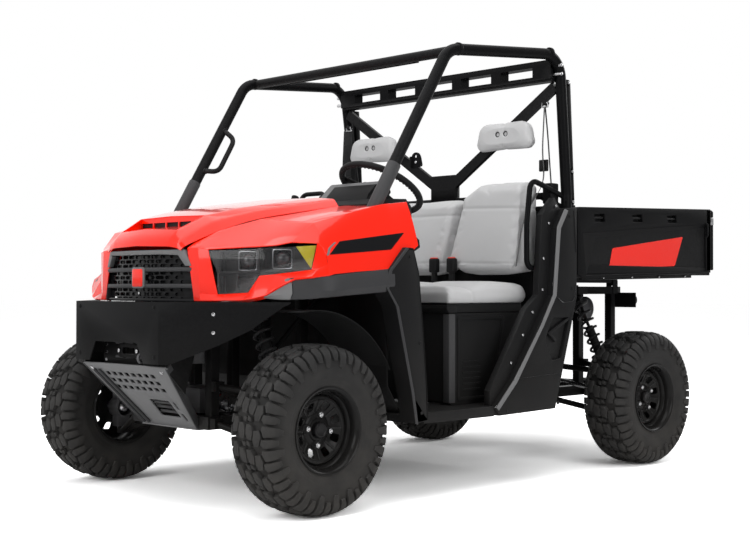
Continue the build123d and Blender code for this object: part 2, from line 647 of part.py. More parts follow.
with BuildPart() as cage_headers:
    rod((FRONT_HEADER_X, -cage_y(FRONT_HEADER_X), cage_z(FRONT_HEADER_X)),
        (FRONT_HEADER_X, cage_y(FRONT_HEADER_X), cage_z(FRONT_HEADER_X)), 22)

    block((-300, -250), (-695, 695), (REAR_HEADER_LOW, REAR_HEADER_LOW + 100))
    block((-290, -240), (-700, 700), (REAR_HEADER_LOW + 10, REAR_HEADER_LOW + 90))
    with BuildSketch(at_x(-310)):
        with Locations((0, REAR_HEADER_LOW + 48)):
            with GridLocations(250, 1, REAR_WINDOWS, 1):
                Rectangle(190, 44)
    extrude(amount=80, mode=Mode.SUBTRACT)
    add(cage_hoops.part, mode=Mode.SUBTRACT)
save(cage_headers, "cage_headers")

BRACE_X = -290.0
HEADREST_Y = 440.0
HEADREST_Z = 1576.0
HEADREST_REAR = BRACE_X + 25
SEAT_BAR_Z = 1290.0
with BuildPart() as seat_brace:
    rod((-300, -BACKS[0][1], SEAT_BAR_Z), (-300, BACKS[0][1], SEAT_BAR_Z), 16)
    for side in (1, -1):
        rod((-300, side * 600, SEAT_BAR_Z), (B_POST_X, side * B_POST_Y, SEAT_BAR_Z - 70), 16)
    for y in (450, 100, -100, -450):
        block((-300, BACK_REAR_X), (y - 20, y + 20), (SEAT_BAR_Z - 60, SEAT_BAR_Z - 10))
    for side in (1, -1):
        bar((BRACE_X, side * 20, 1345), (BRACE_X, side * 690, 1790), 50, 20)
    block((BRACE_X - 25, BRACE_X + 10), (-80, 80), (SEAT_BAR_Z, 1420))
    for y in (HEADREST_Y, -HEADREST_Y):
        block((BRACE_X, HEADREST_REAR), (y - 40, y + 40), (1590, 1640))
    add(cage_hoops.part, mode=Mode.SUBTRACT)
    add(cage_headers.part, mode=Mode.SUBTRACT)
save(seat_brace, "seat_brace")

# ---------------------------------------------------------------- hip hoops, head restraints
HOOP_TUBE = 25.0
with BuildPart() as hoop_left:
    bent_tube(((B_POST_X, 686, 1285), (-200, 686, 1330), (-112, 686, 1352), (-84, 686, 1150), (-84, 686, 955),
               (B_POST_X, 686, 930)), HOOP_TUBE, 40)
    add(cage_left.part, mode=Mode.SUBTRACT)
save(both_sides(hoop_left), "hip_hoops")

HEADREST_FRONT = -205.0
with BuildPart() as headrests:
    for side in (1, -1):
        with BuildSketch(at_x(HEADREST_REAR)):
            with Locations((side * HEADREST_Y, HEADREST_Z)):
                RectangleRounded(345, 147, 60)
        extrude(amount=HEADREST_FRONT - HEADREST_REAR)
save(headrests, "headrests")

# ---------------------------------------------------------------- rear side panels, front side trims
PANEL_DEPTH = SIDE_Y - OUTRIGGER_END
with BuildPart() as panel_left:
    outline = ((228, 344), (103, 460), (-175, 830), (-205, 1138), (-267, 1224), (B_POST_X + 25, 1233),
               (B_POST_X + 25, 820), (-244, 483), (-191, 320), (200, 313))
    with BuildSketch(at_y(SIDE_Y)):
        Polygon(*outline, align=None)
    extrude(amount=PANEL_DEPTH)
    with BuildSketch(at_y(SIDE_Y - SKIN)) as inner:
        Polygon(*outline, align=None)
        offset(amount=-SKIN, mode=Mode.REPLACE)
    extrude(amount=PANEL_DEPTH, mode=Mode.SUBTRACT)
save(both_sides(panel_left), "side_panels")

TRIM_OUTLINE = ((797, 1021), (754, 1019), (721, 920), (697, 695), (673, 447), (669, 328), (742, 320), (765, 446),
                (854, 789), (909, 861), (891, 932))
with BuildPart() as trim_left:
    with BuildSketch(at_y(TRIM_Y)):
        Polygon(*TRIM_OUTLINE, align=None)
    extrude(amount=TRIM_Y - OUTRIGGER_END)
    with BuildSketch(at_y(TRIM_Y - SKIN)):
        Polygon(*TRIM_OUTLINE, align=None)
        offset(amount=-SKIN, mode=Mode.REPLACE)
    extrude(amount=TRIM_Y - OUTRIGGER_END, mode=Mode.SUBTRACT)
save(both_sides(trim_left), "pillar_trims")

# ---------------------------------------------------------------- nose: fenders, hood, grille, lamps
# rear part of the left fender, by front-view sections: seam with the hood, crest, side, lower edge
FENDER_SECTIONS = (
    (715, [(640, 1202), (660, 1203), (702, 1206), (740, 1120), (768, 1030)]),
    (842, [(640, 1188), (660, 1188), (702, 1189), (742, 1080), (766, 951)]),
    (845, [(478, 1194), (590, 1184), (702, 1189), (742, 1080), (766, 949)]),
    (871, [(473, 1192), (590, 1182), (702, 1185), (742, 1070), (766, 933)]),
    (1061, [(430, 1158), (560, 1145), (690, 1139), (738, 1040), (766, 921)]),
    (1211, [(350, 1126), (520, 1110), (670, 1098), (730, 1020), (766, 917)]),
    (1240, [(342, 1117), (520, 1082), (690, 1040), (726, 1010), (765, 915)]))
# front part, by side-view sections: top edge at the seam, top of lamp, foot of lamp, lip
NOSE_SECTIONS = (
    (262, [(1440, 1034), (1474, 1012), (1478, 838), (1474, 806)]),
    (360, [(1230, 1105), (1467, 1006), (1440, 838), (1460, 806)]),
    (500, [(1230, 1082), (1371, 1012), (1369, 845), (1462, 812)]),
    (620, [(1230, 1058), (1289, 1017), (1306, 885), (1460, 826)]),
    (720, [(1228, 1034), (1234, 1024), (1245, 931), (1425, 868)]),
    (764, [(1210, 1000), (1226, 990), (1236, 925), (1380, 905)]))

GRILLE_X = 1478.0
GRILLE_OUTLINE = ((-248, 1002), (248, 1002), (306, 808), (-306, 808))
LAMP_Y = 540.0
LAMP_PLANE = Plane(origin=(1344 - 4, LAMP_Y - 3, 930), x_dir=(-0.564, 0.826, 0), z_dir=(0.826, 0.564, 0))
# lamp outline on its own plane: along the plane to the outside, height above its middle
LAMP_OUTLINE = ((-216, 74), (-176, 3), (-168, -84), (-66, -82), (-40, -22), (135, -12), (206, 2), (216, 88))

with BuildPart() as fender_left:
    shell_loft(FENDER_SECTIONS, at_x, SKIN)
    shell_loft(NOSE_SECTIONS, at_y, SKIN)
    with BuildSketch(LAMP_PLANE.offset(-90)):
        Polygon(*LAMP_OUTLINE, align=None)
    extrude(amount=160, mode=Mode.SUBTRACT)
    with BuildSketch(at_x(GRILLE_X - 80)):
        Polygon(*GRILLE_OUTLINE, align=None)
    extrude(amount=120, mode=Mode.SUBTRACT)
    with BuildSketch(at_y(TRIM_Y)):
        Polygon(*TRIM_OUTLINE, align=None)
    extrude(amount=TRIM_Y - OUTRIGGER_END, mode=Mode.SUBTRACT)
    add(cage_left.part, mode=Mode.SUBTRACT)
save(both_sides(fender_left), "fenders")

# hood by front-view sections, from the middle out to its side flank
HOOD_SECTIONS = (
    (870, [(0, 1238), (330, 1231), (440, 1222), (466, 1192)]),
    (1061, [(0, 1208), (300, 1202), (395, 1190), (422, 1160)]),
    (1211, [(0, 1184), (262, 1176), (318, 1160), (342, 1128)]),
    (1361, [(0, 1148), (225, 1143), (270, 1118), (296, 1078)]),
    (1455, [(0, 1092), (196, 1084), (236, 1056), (256, 1030)]),
    (1478, [(0, 1064), (190, 1058), (226, 1036), (250, 1014)]))

with BuildPart() as hood_half:
    shell_loft(HOOD_SECTIONS, at_x, SKIN)
with BuildPart() as hood:
    add(hood_half.part)
    add(mirror(hood_half.part, about=Plane.XZ))
    for y in (HOOD_HINGE_Y, -HOOD_HINGE_Y):
        rod((HOOD_HINGE_X, y - HOOD_LUG / 2, HOOD_HINGE_Z), (HOOD_HINGE_X, y + HOOD_LUG / 2, HOOD_HINGE_Z), 11)
        block((HOOD_HINGE_X - 4, HOOD_HINGE_X + 8), (y - HOOD_LUG / 2, y + HOOD_LUG / 2), (HOOD_HINGE_Z, 1229))
        rod((HOOD_HINGE_X, y - HOOD_LUG / 2 - 1, HOOD_HINGE_Z), (HOOD_HINGE_X, y + HOOD_LUG / 2 + 1, HOOD_HINGE_Z),
            HOOD_PIN + RUN, mode=Mode.SUBTRACT)
save(hood, "hood")

# ---------------------------------------------------------------- wheel arch flares, wheel housings
FLARE_Y = 790.0
with BuildPart() as flare_left:
    outline = ((858, 948), (1354, 914), (1432, 850), (1440, 806), (868, 864))
    with BuildSketch(at_y(FLARE_Y)):
        Polygon(*outline, align=None)
    extrude(amount=FLARE_Y - 700)
    with BuildSketch(at_y(FLARE_Y - SKIN)):
        Polygon((863, 990), (1358, 990), (1427, 849), (1434, 812), (873, 869), align=None)
    extrude(amount=FLARE_Y, mode=Mode.SUBTRACT)
    block((867, 1400), (700, FLARE_Y - SKIN), (864, 869))
    add(fender_left.part, mode=Mode.SUBTRACT)
    add(trim_left.part, mode=Mode.SUBTRACT)
save(both_sides(flare_left), "flares")

# ---------------------------------------------------------------- lamps
LAMP_DEPTH = 70.0
with BuildPart() as lamp_left:
    with BuildSketch(LAMP_PLANE):
        Polygon(*LAMP_OUTLINE, align=None)
    extrude(amount=-LAMP_DEPTH)
    with BuildSketch(LAMP_PLANE):
        for x in (-90, 40):
            with Locations((x, 32)):
                RectangleRounded(86, 74, 12)
        with Locations((-118, -54)):
            RectangleRounded(78, 42, 6)
    extrude(amount=-40, mode=Mode.SUBTRACT)
save(both_sides(lamp_left), "lamp_housings")

with BuildPart() as lens_left:
    with BuildSketch(LAMP_PLANE):
        Polygon((-214, 74), (-178, 10), (-38, -14), (135, -8), (204, 4), (214, 87), align=None)
    extrude(amount=3)
save(both_sides(lens_left), "lamp_lenses")

# ---------------------------------------------------------------- grille and radiator
with BuildPart() as grille:
    with BuildSketch(at_x(GRILLE_X - 30)):
        Polygon(*GRILLE_OUTLINE, align=None)
        offset(amount=-16, mode=Mode.SUBTRACT)
    extrude(amount=30)
    for z in (845, 905, 965):
        block((GRILLE_X - 30, GRILLE_X - 8), (-290, 290), (z - 5, z + 5))
    for y in range(-240, 241, 60):
        block((GRILLE_X - 26, GRILLE_X - 16), (y - 3, y + 3), (812, 998))
    with BuildSketch(at_x(GRILLE_X - 40)):
        with Locations((0, 900)):
            Rectangle(900, 900)
        Polygon(*GRILLE_OUTLINE, align=None, mode=Mode.SUBTRACT)
    extrude(amount=60, mode=Mode.SUBTRACT)
save(grille, "grille")

with BuildPart() as radiator:
    block((1350, 1400), (-205, 205), (560, 990))
save(radiator, "radiator")

# ---------------------------------------------------------------- bumper, winch plate, skid plate
BUMPER_HALF = 287.0
WINCH_X = 1560.0
FAIRLEAD_Z = 610.0
FAIRLEAD_PITCH = 124.0
FAIRLEAD_R = 5.0
BUMPER_LOW, BUMPER_HIGH = 568.0, 806.0
WING_TIP = (1285.0, 650.0)
BUMPER_LINE = [(WING_TIP[0], -WING_TIP[1]), (NOSE_X, -BUMPER_HALF), (NOSE_X, BUMPER_HALF), WING_TIP]
with BuildPart() as bumper:
    with BuildSketch(Plane.XY.offset(BUMPER_LOW)):
        Polygon(*band(BUMPER_LINE, -PLATE), align=None)
    extrude(amount=BUMPER_HIGH - BUMPER_LOW)
    with BuildSketch(at_x(NOSE_X - 50)):
        Polygon((-145, 646), (145, 646), (192, 560), (-192, 560), align=None)
    extrude(amount=60, mode=Mode.SUBTRACT)
    with BuildSketch(at_y(-700)):
        Polygon((1640, 566), (1605, 566), (1472, 642), (1392, 697), (1303, 788), (1270, 810), (1200, 810), (1200, 500),
                (1640, 500), align=None)
    extrude(amount=-1400, mode=Mode.SUBTRACT)
with BuildPart() as winch_plate:
    block((WINCH_X - PLATE, WINCH_X), (-190, 190), (556, 679))
    for side in (1, -1):
        block((WINCH_X, NOSE_X - PLATE), sorted((side * 189, side * 195)), (600, 679))
        block((WINCH_X - PLATE, WINCH_X), sorted((side * 189, side * 250)), (650, 679))
    with BuildSketch(at_x(WINCH_X - 2 * PLATE)):
        with Locations((0, FAIRLEAD_Z)):
            RectangleRounded(90, 30, 8)
            with GridLocations(FAIRLEAD_PITCH, 1, 2, 1):
                Circle(FAIRLEAD_R)
    extrude(amount=3 * PLATE, mode=Mode.SUBTRACT)
    add(bumper.part)
save(winch_plate, "bumper")

with BuildPart() as skid_plate:
    with BuildSketch(at_y(0)):
        Polygon(*band([(1240, RAIL_Z - RAIL), (FRAME_FRONT, RAIL_Z - RAIL), (1598, 555)], PLATE), align=None)
    extrude(amount=294, both=True)
    with BuildSketch(at_x(1200)):
        Polygon((-189, 290), (-294, 555), (-320, 555), (-320, 280), (-189, 280), align=None)
        Polygon((189, 290), (294, 555), (320, 555), (320, 280), (189, 280), align=None)
    extrude(amount=500, mode=Mode.SUBTRACT)
save(skid_plate, "skid_plate")

# ================================================================ cargo box
TAILGATE_T = 40.0
TAILGATE_LOW = 958.0
with BuildPart() as bed_tub:
    block((TAIL_X, BED_FRONT), (-BED_HALF, BED_HALF), (BED_FLOOR_Z, BED_TOP))
    block((TAIL_X - 1, BED_FRONT - BED_WALL), (-BED_HALF + BED_WALL, BED_HALF - BED_WALL),
          (BED_FLOOR_Z + BED_FLOOR, BED_TOP + 1), mode=Mode.SUBTRACT)
save(bed_tub, "bed_tub")

with BuildPart() as bed_rails:
    for side in (1, -1):
        y = side * RAIL_Y
        block((BED_HINGE_X - 20, BED_FRONT - 5), (y - BED_RAIL_HALF, y + BED_RAIL_HALF),
              (BED_FLOOR_Z - BED_RAIL, BED_FLOOR_Z))
        rod((BED_HINGE_X, y - BED_RAIL_HALF, BED_HINGE_Z), (BED_HINGE_X, y + BED_RAIL_HALF, BED_HINGE_Z), 20)
        rod((BED_HINGE_X, y - BED_RAIL_HALF - 1, BED_HINGE_Z), (BED_HINGE_X, y + BED_RAIL_HALF + 1, BED_HINGE_Z),
            HINGE_PIN + RUN, mode=Mode.SUBTRACT)
    for x in (-500, -900, -1250):
        block((x - 20, x + 20), (-RAIL_Y, RAIL_Y), (BED_FLOOR_Z - BED_RAIL + 15, BED_FLOOR_Z))

GATE_HINGE_X = TAIL_X - 14.0
GATE_HINGE_Z = 948.0
with BuildPart() as tailgate:
    block((TAIL_X - 2 - TAILGATE_T, TAIL_X - 2), (-BED_HALF + 8, BED_HALF - 8), (TAILGATE_LOW + 8, BED_TOP))
    for y in (-420, 420):
        rod((GATE_HINGE_X, y - 40, GATE_HINGE_Z), (GATE_HINGE_X, y + 40, GATE_HINGE_Z), 12)
        block((GATE_HINGE_X - 8, GATE_HINGE_X + 8), (y - 40, y + 40), (GATE_HINGE_Z, TAILGATE_LOW + 8))
        rod((GATE_HINGE_X, y - 41, GATE_HINGE_Z), (GATE_HINGE_X, y + 41, GATE_HINGE_Z), 6 + RUN, mode=Mode.SUBTRACT)
    block((-NOSE_X, TAIL_X - 2 - TAILGATE_T), (-90, 90), (1190, 1220))
save(tailgate, "tailgate")

with BuildPart() as bed_frame:
    add(bed_rails.part)
    for y in (-420, 420):
        rod((GATE_HINGE_X, y - 52, GATE_HINGE_Z), (GATE_HINGE_X, y + 52, GATE_HINGE_Z), 6)
        for side in (1, -1):
            block((GATE_HINGE_X - 10, TAIL_X), sorted((y + side * 42, y + side * 52)),
                  (GATE_HINGE_Z - 10, GATE_HINGE_Z + 10))
save(bed_frame, "bed_frame")

with BuildPart() as hitch:
    block((FRAME_REAR - 150, FRAME_REAR), (-32, 32), (RAIL_Z - RAIL - 7, RAIL_Z - RAIL + 57))
    block((FRAME_REAR - 151, FRAME_REAR - 4), (-25.8, 25.8), (RAIL_Z - RAIL - 0.8, RAIL_Z - RAIL + 50.8),
          mode=Mode.SUBTRACT)
    rod((FRAME_REAR - 100, -40, RAIL_Z - 25), (FRAME_REAR - 100, 40, RAIL_Z - 25), 8, mode=Mode.SUBTRACT)
save(hitch, "hitch_receiver")
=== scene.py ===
"""Side-by-side utility vehicle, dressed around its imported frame.

Sizes are millimetres in the vehicle's frame (+X forward, +Y to its left, +Z up) until a form becomes
a piece, which turns them into metres.
"""

import json
import logging
import math
from dataclasses import dataclass, replace
from enum import Enum
from typing import Callable, Iterable, Sequence

import bmesh
import bpy
from mathutils import Matrix, Vector
from mathutils.bvhtree import BVHTree


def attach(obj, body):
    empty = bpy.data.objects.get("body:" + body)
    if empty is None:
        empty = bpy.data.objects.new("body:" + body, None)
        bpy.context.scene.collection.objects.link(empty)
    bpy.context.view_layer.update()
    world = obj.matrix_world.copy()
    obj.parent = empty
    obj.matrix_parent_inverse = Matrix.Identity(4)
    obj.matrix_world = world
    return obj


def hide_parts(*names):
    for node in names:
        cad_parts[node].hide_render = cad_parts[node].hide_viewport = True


LOG = logging.getLogger("side_by_side")
MM = 0.001
Point2 = tuple[float, float]
Point3 = tuple[float, float, float]
Colour = tuple[float, float, float]
Span = tuple[float, float]

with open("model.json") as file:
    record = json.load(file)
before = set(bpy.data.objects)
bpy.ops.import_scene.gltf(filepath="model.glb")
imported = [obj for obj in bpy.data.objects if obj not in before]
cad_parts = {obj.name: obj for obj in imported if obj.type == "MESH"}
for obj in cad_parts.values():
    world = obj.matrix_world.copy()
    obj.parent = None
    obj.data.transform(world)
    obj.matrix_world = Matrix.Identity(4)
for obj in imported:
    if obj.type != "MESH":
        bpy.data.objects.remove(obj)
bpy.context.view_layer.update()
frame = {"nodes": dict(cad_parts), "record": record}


# ---------------------------------------------------------------- planes and forms
@dataclass(frozen=True)
class Workplane:
    """A drawing plane: an origin, its two drawing directions and the way a form grows out of it."""

    origin: Vector
    right: Vector
    up: Vector
    out: Vector

    def at(self, u: float, v: float, w: float = 0.0) -> Vector:
        """Point of the vehicle's frame.

        Args:
            u: Distance along the drawing's right.
            v: Distance along the drawing's up.
            w: Distance out of the plane.

        Returns:
            The point, in millimetres.
        """
        return self.origin + self.right * u + self.up * v + self.out * w


def side_plane(y: float) -> Workplane:
    """Side view at y: right is forward, up is up, out is to the vehicle's left."""
    return Workplane(Vector((0, y, 0)), Vector((1, 0, 0)), Vector((0, 0, 1)), Vector((0, 1, 0)))


def front_plane(x: float) -> Workplane:
    """Front view at x: right is the vehicle's left, up is up, out is forward."""
    return Workplane(Vector((x, 0, 0)), Vector((0, 1, 0)), Vector((0, 0, 1)), Vector((1, 0, 0)))


def plan_plane(z: float) -> Workplane:
    """Plan at z: right is forward, up is the vehicle's left, out is up."""
    return Workplane(Vector((0, 0, z)), Vector((1, 0, 0)), Vector((0, 1, 0)), Vector((0, 0, 1)))


def sides(side: int, low: float, high: float) -> list[float]:
    """The span from low to high on one side of the vehicle, smallest first."""
    return sorted((side * low, side * high))


class Form:
    """A mesh in the making."""

    def __init__(self) -> None:
        """Starts with nothing in it."""
        self.mesh = bmesh.new()

    # -------- starts
    @classmethod
    def prism(cls, plane: Workplane, outline: Sequence[Point2], low: float, high: float,
              holes: Sequence[Sequence[Point2]] = ()) -> "Form":
        """Plate or block cut to an outline.

        Args:
            plane: Plane of the outline.
            outline: Corners in order.
            low: Where it starts, out of the plane.
            high: Where it ends.
            holes: Outlines of openings through it.

        Returns:
            The closed form.
        """
        form = cls()
        mesh = form.mesh
        edges = []
        for loop in (outline, *holes):
            ring = [mesh.verts.new(plane.at(u, v, low)) for u, v in loop]
            edges += [mesh.edges.new((ring[i - 1], ring[i])) for i in range(len(ring))]
        if holes:
            bmesh.ops.triangle_fill(mesh, use_beauty=True, edges=edges, normal=plane.out)
        else:
            mesh.faces.new(mesh.verts)
        grown = bmesh.ops.extrude_face_region(mesh, geom=list(mesh.faces))["geom"]
        moved = [g for g in grown if isinstance(g, bmesh.types.BMVert)]
        bmesh.ops.translate(mesh, verts=moved, vec=plane.out * (high - low))
        return form.outward()

    @classmethod
    def block(cls, x: Point2, y: Point2, z: Point2) -> "Form":
        """Box along the vehicle's axes.

        Args:
            x: Where it starts and ends along the vehicle.
            y: The same across it.
            z: The same in height.

        Returns:
            The closed form.
        """
        form = cls()
        bmesh.ops.create_cube(form.mesh, size=1.0)
        middle = [(pair[0] + pair[1]) / 2 for pair in (x, y, z)]
        size = [abs(pair[1] - pair[0]) for pair in (x, y, z)]
        place = Matrix.Translation(middle) @ Matrix.Diagonal((*size, 1))
        bmesh.ops.transform(form.mesh, matrix=place, verts=form.mesh.verts)
        return form.outward()

    @classmethod
    def rod(cls, start: Point3, end: Point3, radius: float, tip: float | None = None,
            sides: int = 24) -> "Form":
        """Round bar, or a cone where the tip differs.

        Args:
            start: Middle of the first end.
            end: Middle of the other end.
            radius: Radius at the start.
            tip: Radius at the end, the same where it is left out.
            sides: Faces round it.

        Returns:
            The closed form.
        """
        form = cls()
        a, b = Vector(start), Vector(end)
        bmesh.ops.create_cone(form.mesh, cap_ends=True, segments=sides, radius1=radius,
                              radius2=radius if tip is None else tip, depth=(b - a).length)
        turn = (b - a).to_track_quat("Z", "Y").to_matrix().to_4x4()
        bmesh.ops.transform(form.mesh, matrix=Matrix.Translation((a + b) / 2) @ turn, verts=form.mesh.verts)
        return form

    @classmethod
    def bolt(cls, start: Point3, end: Point3, radius: float, edge: float = 1.2) -> "Form":
        """Hexagon head from one end to the other, with its edges rounded."""
        return cls.rod(start, end, radius, radius, 6).bevel(edge)

    @classmethod
    def lathe(cls, profile: Sequence[Point2], centre: Point3, axis: Vector, steps: int = 48) -> "Form":
        """Turned form.

        Args:
            profile: (distance along the axis, radius) corners in order.
            centre: Point the distances are measured from.
            axis: Direction of the axis.
            steps: Faces round it.

        Returns:
            The turned form, closed where the profile meets the axis or itself.
        """
        form = cls()
        mesh = form.mesh
        along = axis.normalized()
        across = along.orthogonal().normalized()
        origin = Vector(centre)
        ring = [mesh.verts.new(origin + along * t + across * r) for t, r in profile]
        edges = [mesh.edges.new(pair) for pair in zip(ring, ring[1:])]
        bmesh.ops.spin(mesh, geom=[*ring, *edges], cent=origin, axis=along, dvec=(0, 0, 0),
                       angle=math.tau, steps=steps, use_merge=True)
        bmesh.ops.remove_doubles(mesh, verts=mesh.verts, dist=0.01)
        return form.outward()

    @classmethod
    def tube(cls, points: Sequence[Point3], radius: float, sides: int = 16, closed: bool = False,
             flat: float = 1.0) -> "Form":
        """Round or flattened tube through points.

        Args:
            points: Middle line.
            radius: Half its width.
            sides: Faces round it.
            closed: Whether its end joins its start.
            flat: Thickness as a share of the width.

        Returns:
            The tube, capped where it is open.
        """
        form = cls()
        mesh = form.mesh
        path = [Vector(p) for p in points]
        count = len(path)
        rings = []
        side = None
        for i, here in enumerate(path):
            before = path[i - 1] if closed or i else here
            after = path[(i + 1) % count] if closed or i < count - 1 else here
            run = (after - before).normalized()
            side = run.orthogonal() if side is None else side - run * side.dot(run)
            side.normalize()
            place = Matrix((side, run.cross(side), run)).transposed().to_4x4()
            place = Matrix.Translation(here) @ place @ Matrix.Diagonal((1, flat, 1, 1))
            made = bmesh.ops.create_circle(mesh, cap_ends=False, segments=sides, radius=radius, matrix=place)
            ring = made["verts"]
            rings.append([mesh.edges.get((ring[j - 1], ring[j])) for j in range(sides)])
        for low, high in zip(rings, rings[1:]):
            bmesh.ops.bridge_loops(mesh, edges=[*low, *high])
        if closed:
            bmesh.ops.bridge_loops(mesh, edges=[*rings[-1], *rings[0]])
        else:
            for end in (rings[0], rings[-1]):
                bmesh.ops.contextual_create(mesh, geom=end)
        return form.outward()

    @classmethod
    def loft(cls, lines: Sequence[Sequence[Point3]], closed: bool = False) -> "Form":
        """Sheet through lines of the same number of points.

        Args:
            lines: Lines in order, each a run of points.
            closed: Whether each line is a ring, whose ends are then filled.

        Returns:
            The sheet, or the closed form.
        """
        form = cls()
        mesh = form.mesh
        chains = []
        for line in lines:
            verts = [mesh.verts.new(p) for p in line]
            pairs = list(zip(verts, verts[1:])) + ([(verts[-1], verts[0])] if closed else [])
            chains.append((verts, [mesh.edges.new(pair) for pair in pairs]))
        for (low, _), (high, _) in zip(chains, chains[1:]):
            for i in range(len(low) - (0 if closed else 1)):
                j = (i + 1) % len(low)
                mesh.faces.new((low[i], low[j], high[j], high[i]))
        if closed:
            for verts, _ in (chains[0], chains[-1]):
                mesh.faces.new(verts)
            form.outward()
        return form

    @classmethod
    def join(cls, parts: Iterable["Form"]) -> "Form":
        """One form of several.

        Args:
            parts: The forms, which are used up.

        Returns:
            The form of them all.
        """
        form = cls()
        for part in parts:
            carrier = bpy.data.meshes.new("carrier")
            part.mesh.to_mesh(carrier)
            part.mesh.free()
            form.mesh.from_mesh(carrier)
            bpy.data.meshes.remove(carrier)
        return form

    # -------- changes
    def outward(self) -> "Form":
        """Turns every face outwards."""
        bmesh.ops.recalc_face_normals(self.mesh, faces=self.mesh.faces)
        return self

    def round_off(self, edges: Sequence[bmesh.types.BMEdge], width: float, segments: int = 2) -> "Form":
        """Rounds the edges given.

        Args:
            edges: The edges.
            width: Width of the rounding.
            segments: Faces across it.

        Returns:
            The same form.
        """
        bmesh.ops.bevel(self.mesh, geom=edges, offset=width, offset_type="OFFSET", segments=segments,
                        profile=0.5, affect="EDGES", clamp_overlap=True, material=-1)
        return self

    def bevel(self, width: float, segments: int = 2, angle: float = 40.0) -> "Form":
        """Rounds the edges sharper than an angle.

        Args:
            width: Width of the rounding.
            segments: Faces across it.
            angle: Smallest fold that is rounded, in degrees.

        Returns:
            The same form.
        """
        return self.round_off([edge for edge in self.mesh.edges if len(edge.link_faces) == 2
                               and math.degrees(edge.calc_face_angle(0.0)) >= angle], width, segments)

    def bisected(self, point: Point3, normal: Point3, grain: float = 0.001) -> "Form":
        """Splits the faces that a plane crosses.

        Args:
            point: A point of the plane.
            normal: Direction square to it.
            grain: Distance at which a vertex counts as on the plane.

        Returns:
            The same form.
        """
        geometry = [*self.mesh.verts, *self.mesh.edges, *self.mesh.faces]
        bmesh.ops.bisect_plane(self.mesh, geom=geometry, dist=grain, plane_co=point, plane_no=normal)
        return self

    def wall(self, thickness: float) -> "Form":
        """Gives a sheet a wall of this thickness behind it."""
        bmesh.ops.solidify(self.mesh, geom=list(self.mesh.faces), thickness=thickness)
        return self

    def gridded(self, pitch: float) -> "Form":
        """Adds edges along and up the form, so that it can be laid on a skin.

        Args:
            pitch: Distance between them.

        Returns:
            The same form.
        """
        for normal in ((1, 0, 0), (0, 0, 1)):
            places = [vert.co.dot(Vector(normal)) for vert in self.mesh.verts]
            for i in range(1, int((max(places) - min(places)) / pitch) + 1):
                self.bisected(Vector(normal) * (min(places) + i * pitch), normal)
        return self

    def move(self, x: float = 0, y: float = 0, z: float = 0) -> "Form":
        """Shifts the form."""
        bmesh.ops.translate(self.mesh, verts=self.mesh.verts, vec=(x, y, z))
        return self

    def turn(self, degrees: float, axis: Point3, about: Point3 = (0, 0, 0)) -> "Form":
        """Turns the form.

        Args:
            degrees: How far.
            axis: Direction of the axis.
            about: A point of the axis.

        Returns:
            The same form.
        """
        bmesh.ops.rotate(self.mesh, verts=self.mesh.verts, cent=about,
                         matrix=Matrix.Rotation(math.radians(degrees), 3, Vector(axis)))
        return self

    def reshape(self, place: Callable[[Vector], Vector]) -> "Form":
        """Moves every point.

        Args:
            place: Rule that gives a point's new place.

        Returns:
            The same form.
        """
        for vert in self.mesh.verts:
            vert.co = place(vert.co)
        return self

    def sliced(self, places: Iterable[float], grain: float = 0.001) -> "Form":
        """Adds edge loops across the form, so that it can be bowed.

        Args:
            places: The y of each loop.
            grain: Distance at which a vertex counts as on a loop.

        Returns:
            The same form.
        """
        for y in places:
            self.bisected((0, y, 0), (0, 1, 0), grain)
        return self

    def paint(self, index: int) -> "Form":
        """Gives every face one finish.

        Args:
            index: Number of the finish on the form's piece.

        Returns:
            The same form.
        """
        for face in self.mesh.faces:
            face.material_index = index
        return self

    def copy(self) -> "Form":
        """A second form like this one."""
        twin = Form()
        twin.mesh.free()
        twin.mesh = self.mesh.copy()
        return twin

    def mirror(self) -> "Form":
        """The form on the vehicle's other side."""
        bmesh.ops.transform(self.mesh, matrix=Matrix.Diagonal((1, -1, 1, 1)), verts=self.mesh.verts)
        bmesh.ops.reverse_faces(self.mesh, faces=self.mesh.faces)
        return self

    def both_sides(self) -> "Form":
        """The form and its mirror image."""
        return Form.join([self.copy().mirror(), self])

    # -------- the finished piece
    def piece(self, name: str, body: str, finishes: Sequence["Finish"], replaces: Sequence[str] = (),
              smooth: float = 34.0) -> bpy.types.Object:
        """Turns the form into a piece of the vehicle.

        Args:
            name: Name of the piece.
            body: Moving body it rides on.
            finishes: Finishes, in the order of their paint numbers.
            replaces: Frame nodes it stands for.
            smooth: Folds flatter than this are shaded smooth, in degrees.

        Returns:
            The finished object, at the origin, in metres.
        """
        bmesh.ops.remove_doubles(self.mesh, verts=self.mesh.verts, dist=0.005)
        bmesh.ops.scale(self.mesh, verts=self.mesh.verts, vec=(MM, MM, MM))
        data = bpy.data.meshes.new(name)
        self.mesh.to_mesh(data)
        self.mesh.free()
        data.shade_smooth()
        data.set_sharp_from_angle(angle=math.radians(smooth))
        obj = bpy.data.objects.new(name, data)
        bpy.context.scene.collection.objects.link(obj)
        for finish in finishes:
            data.materials.append(finish.material())
        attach(obj, body)
        finishes[0].slot
        if replaces:
            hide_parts(*replaces)
        LOG.info("%s: %d faces on %s", name, len(data.polygons), body)
        return obj


class Kit(list[Form]):
    """Parts of a piece in the making. A form started by its name here is added to them and given back."""

    def __getattr__(self, start: str) -> Callable[..., Form]:
        """The way to start a form that has this name.

        Args:
            start: Name of one of the form's ways to start, such as prism.

        Returns:
            A function that starts the form and adds it to the parts.
        """
        def added(*sizes: object, **options: object) -> Form:
            """Starts the form and adds it."""
            self.append(getattr(Form, start)(*sizes, **options))
            return self[-1]
        return added


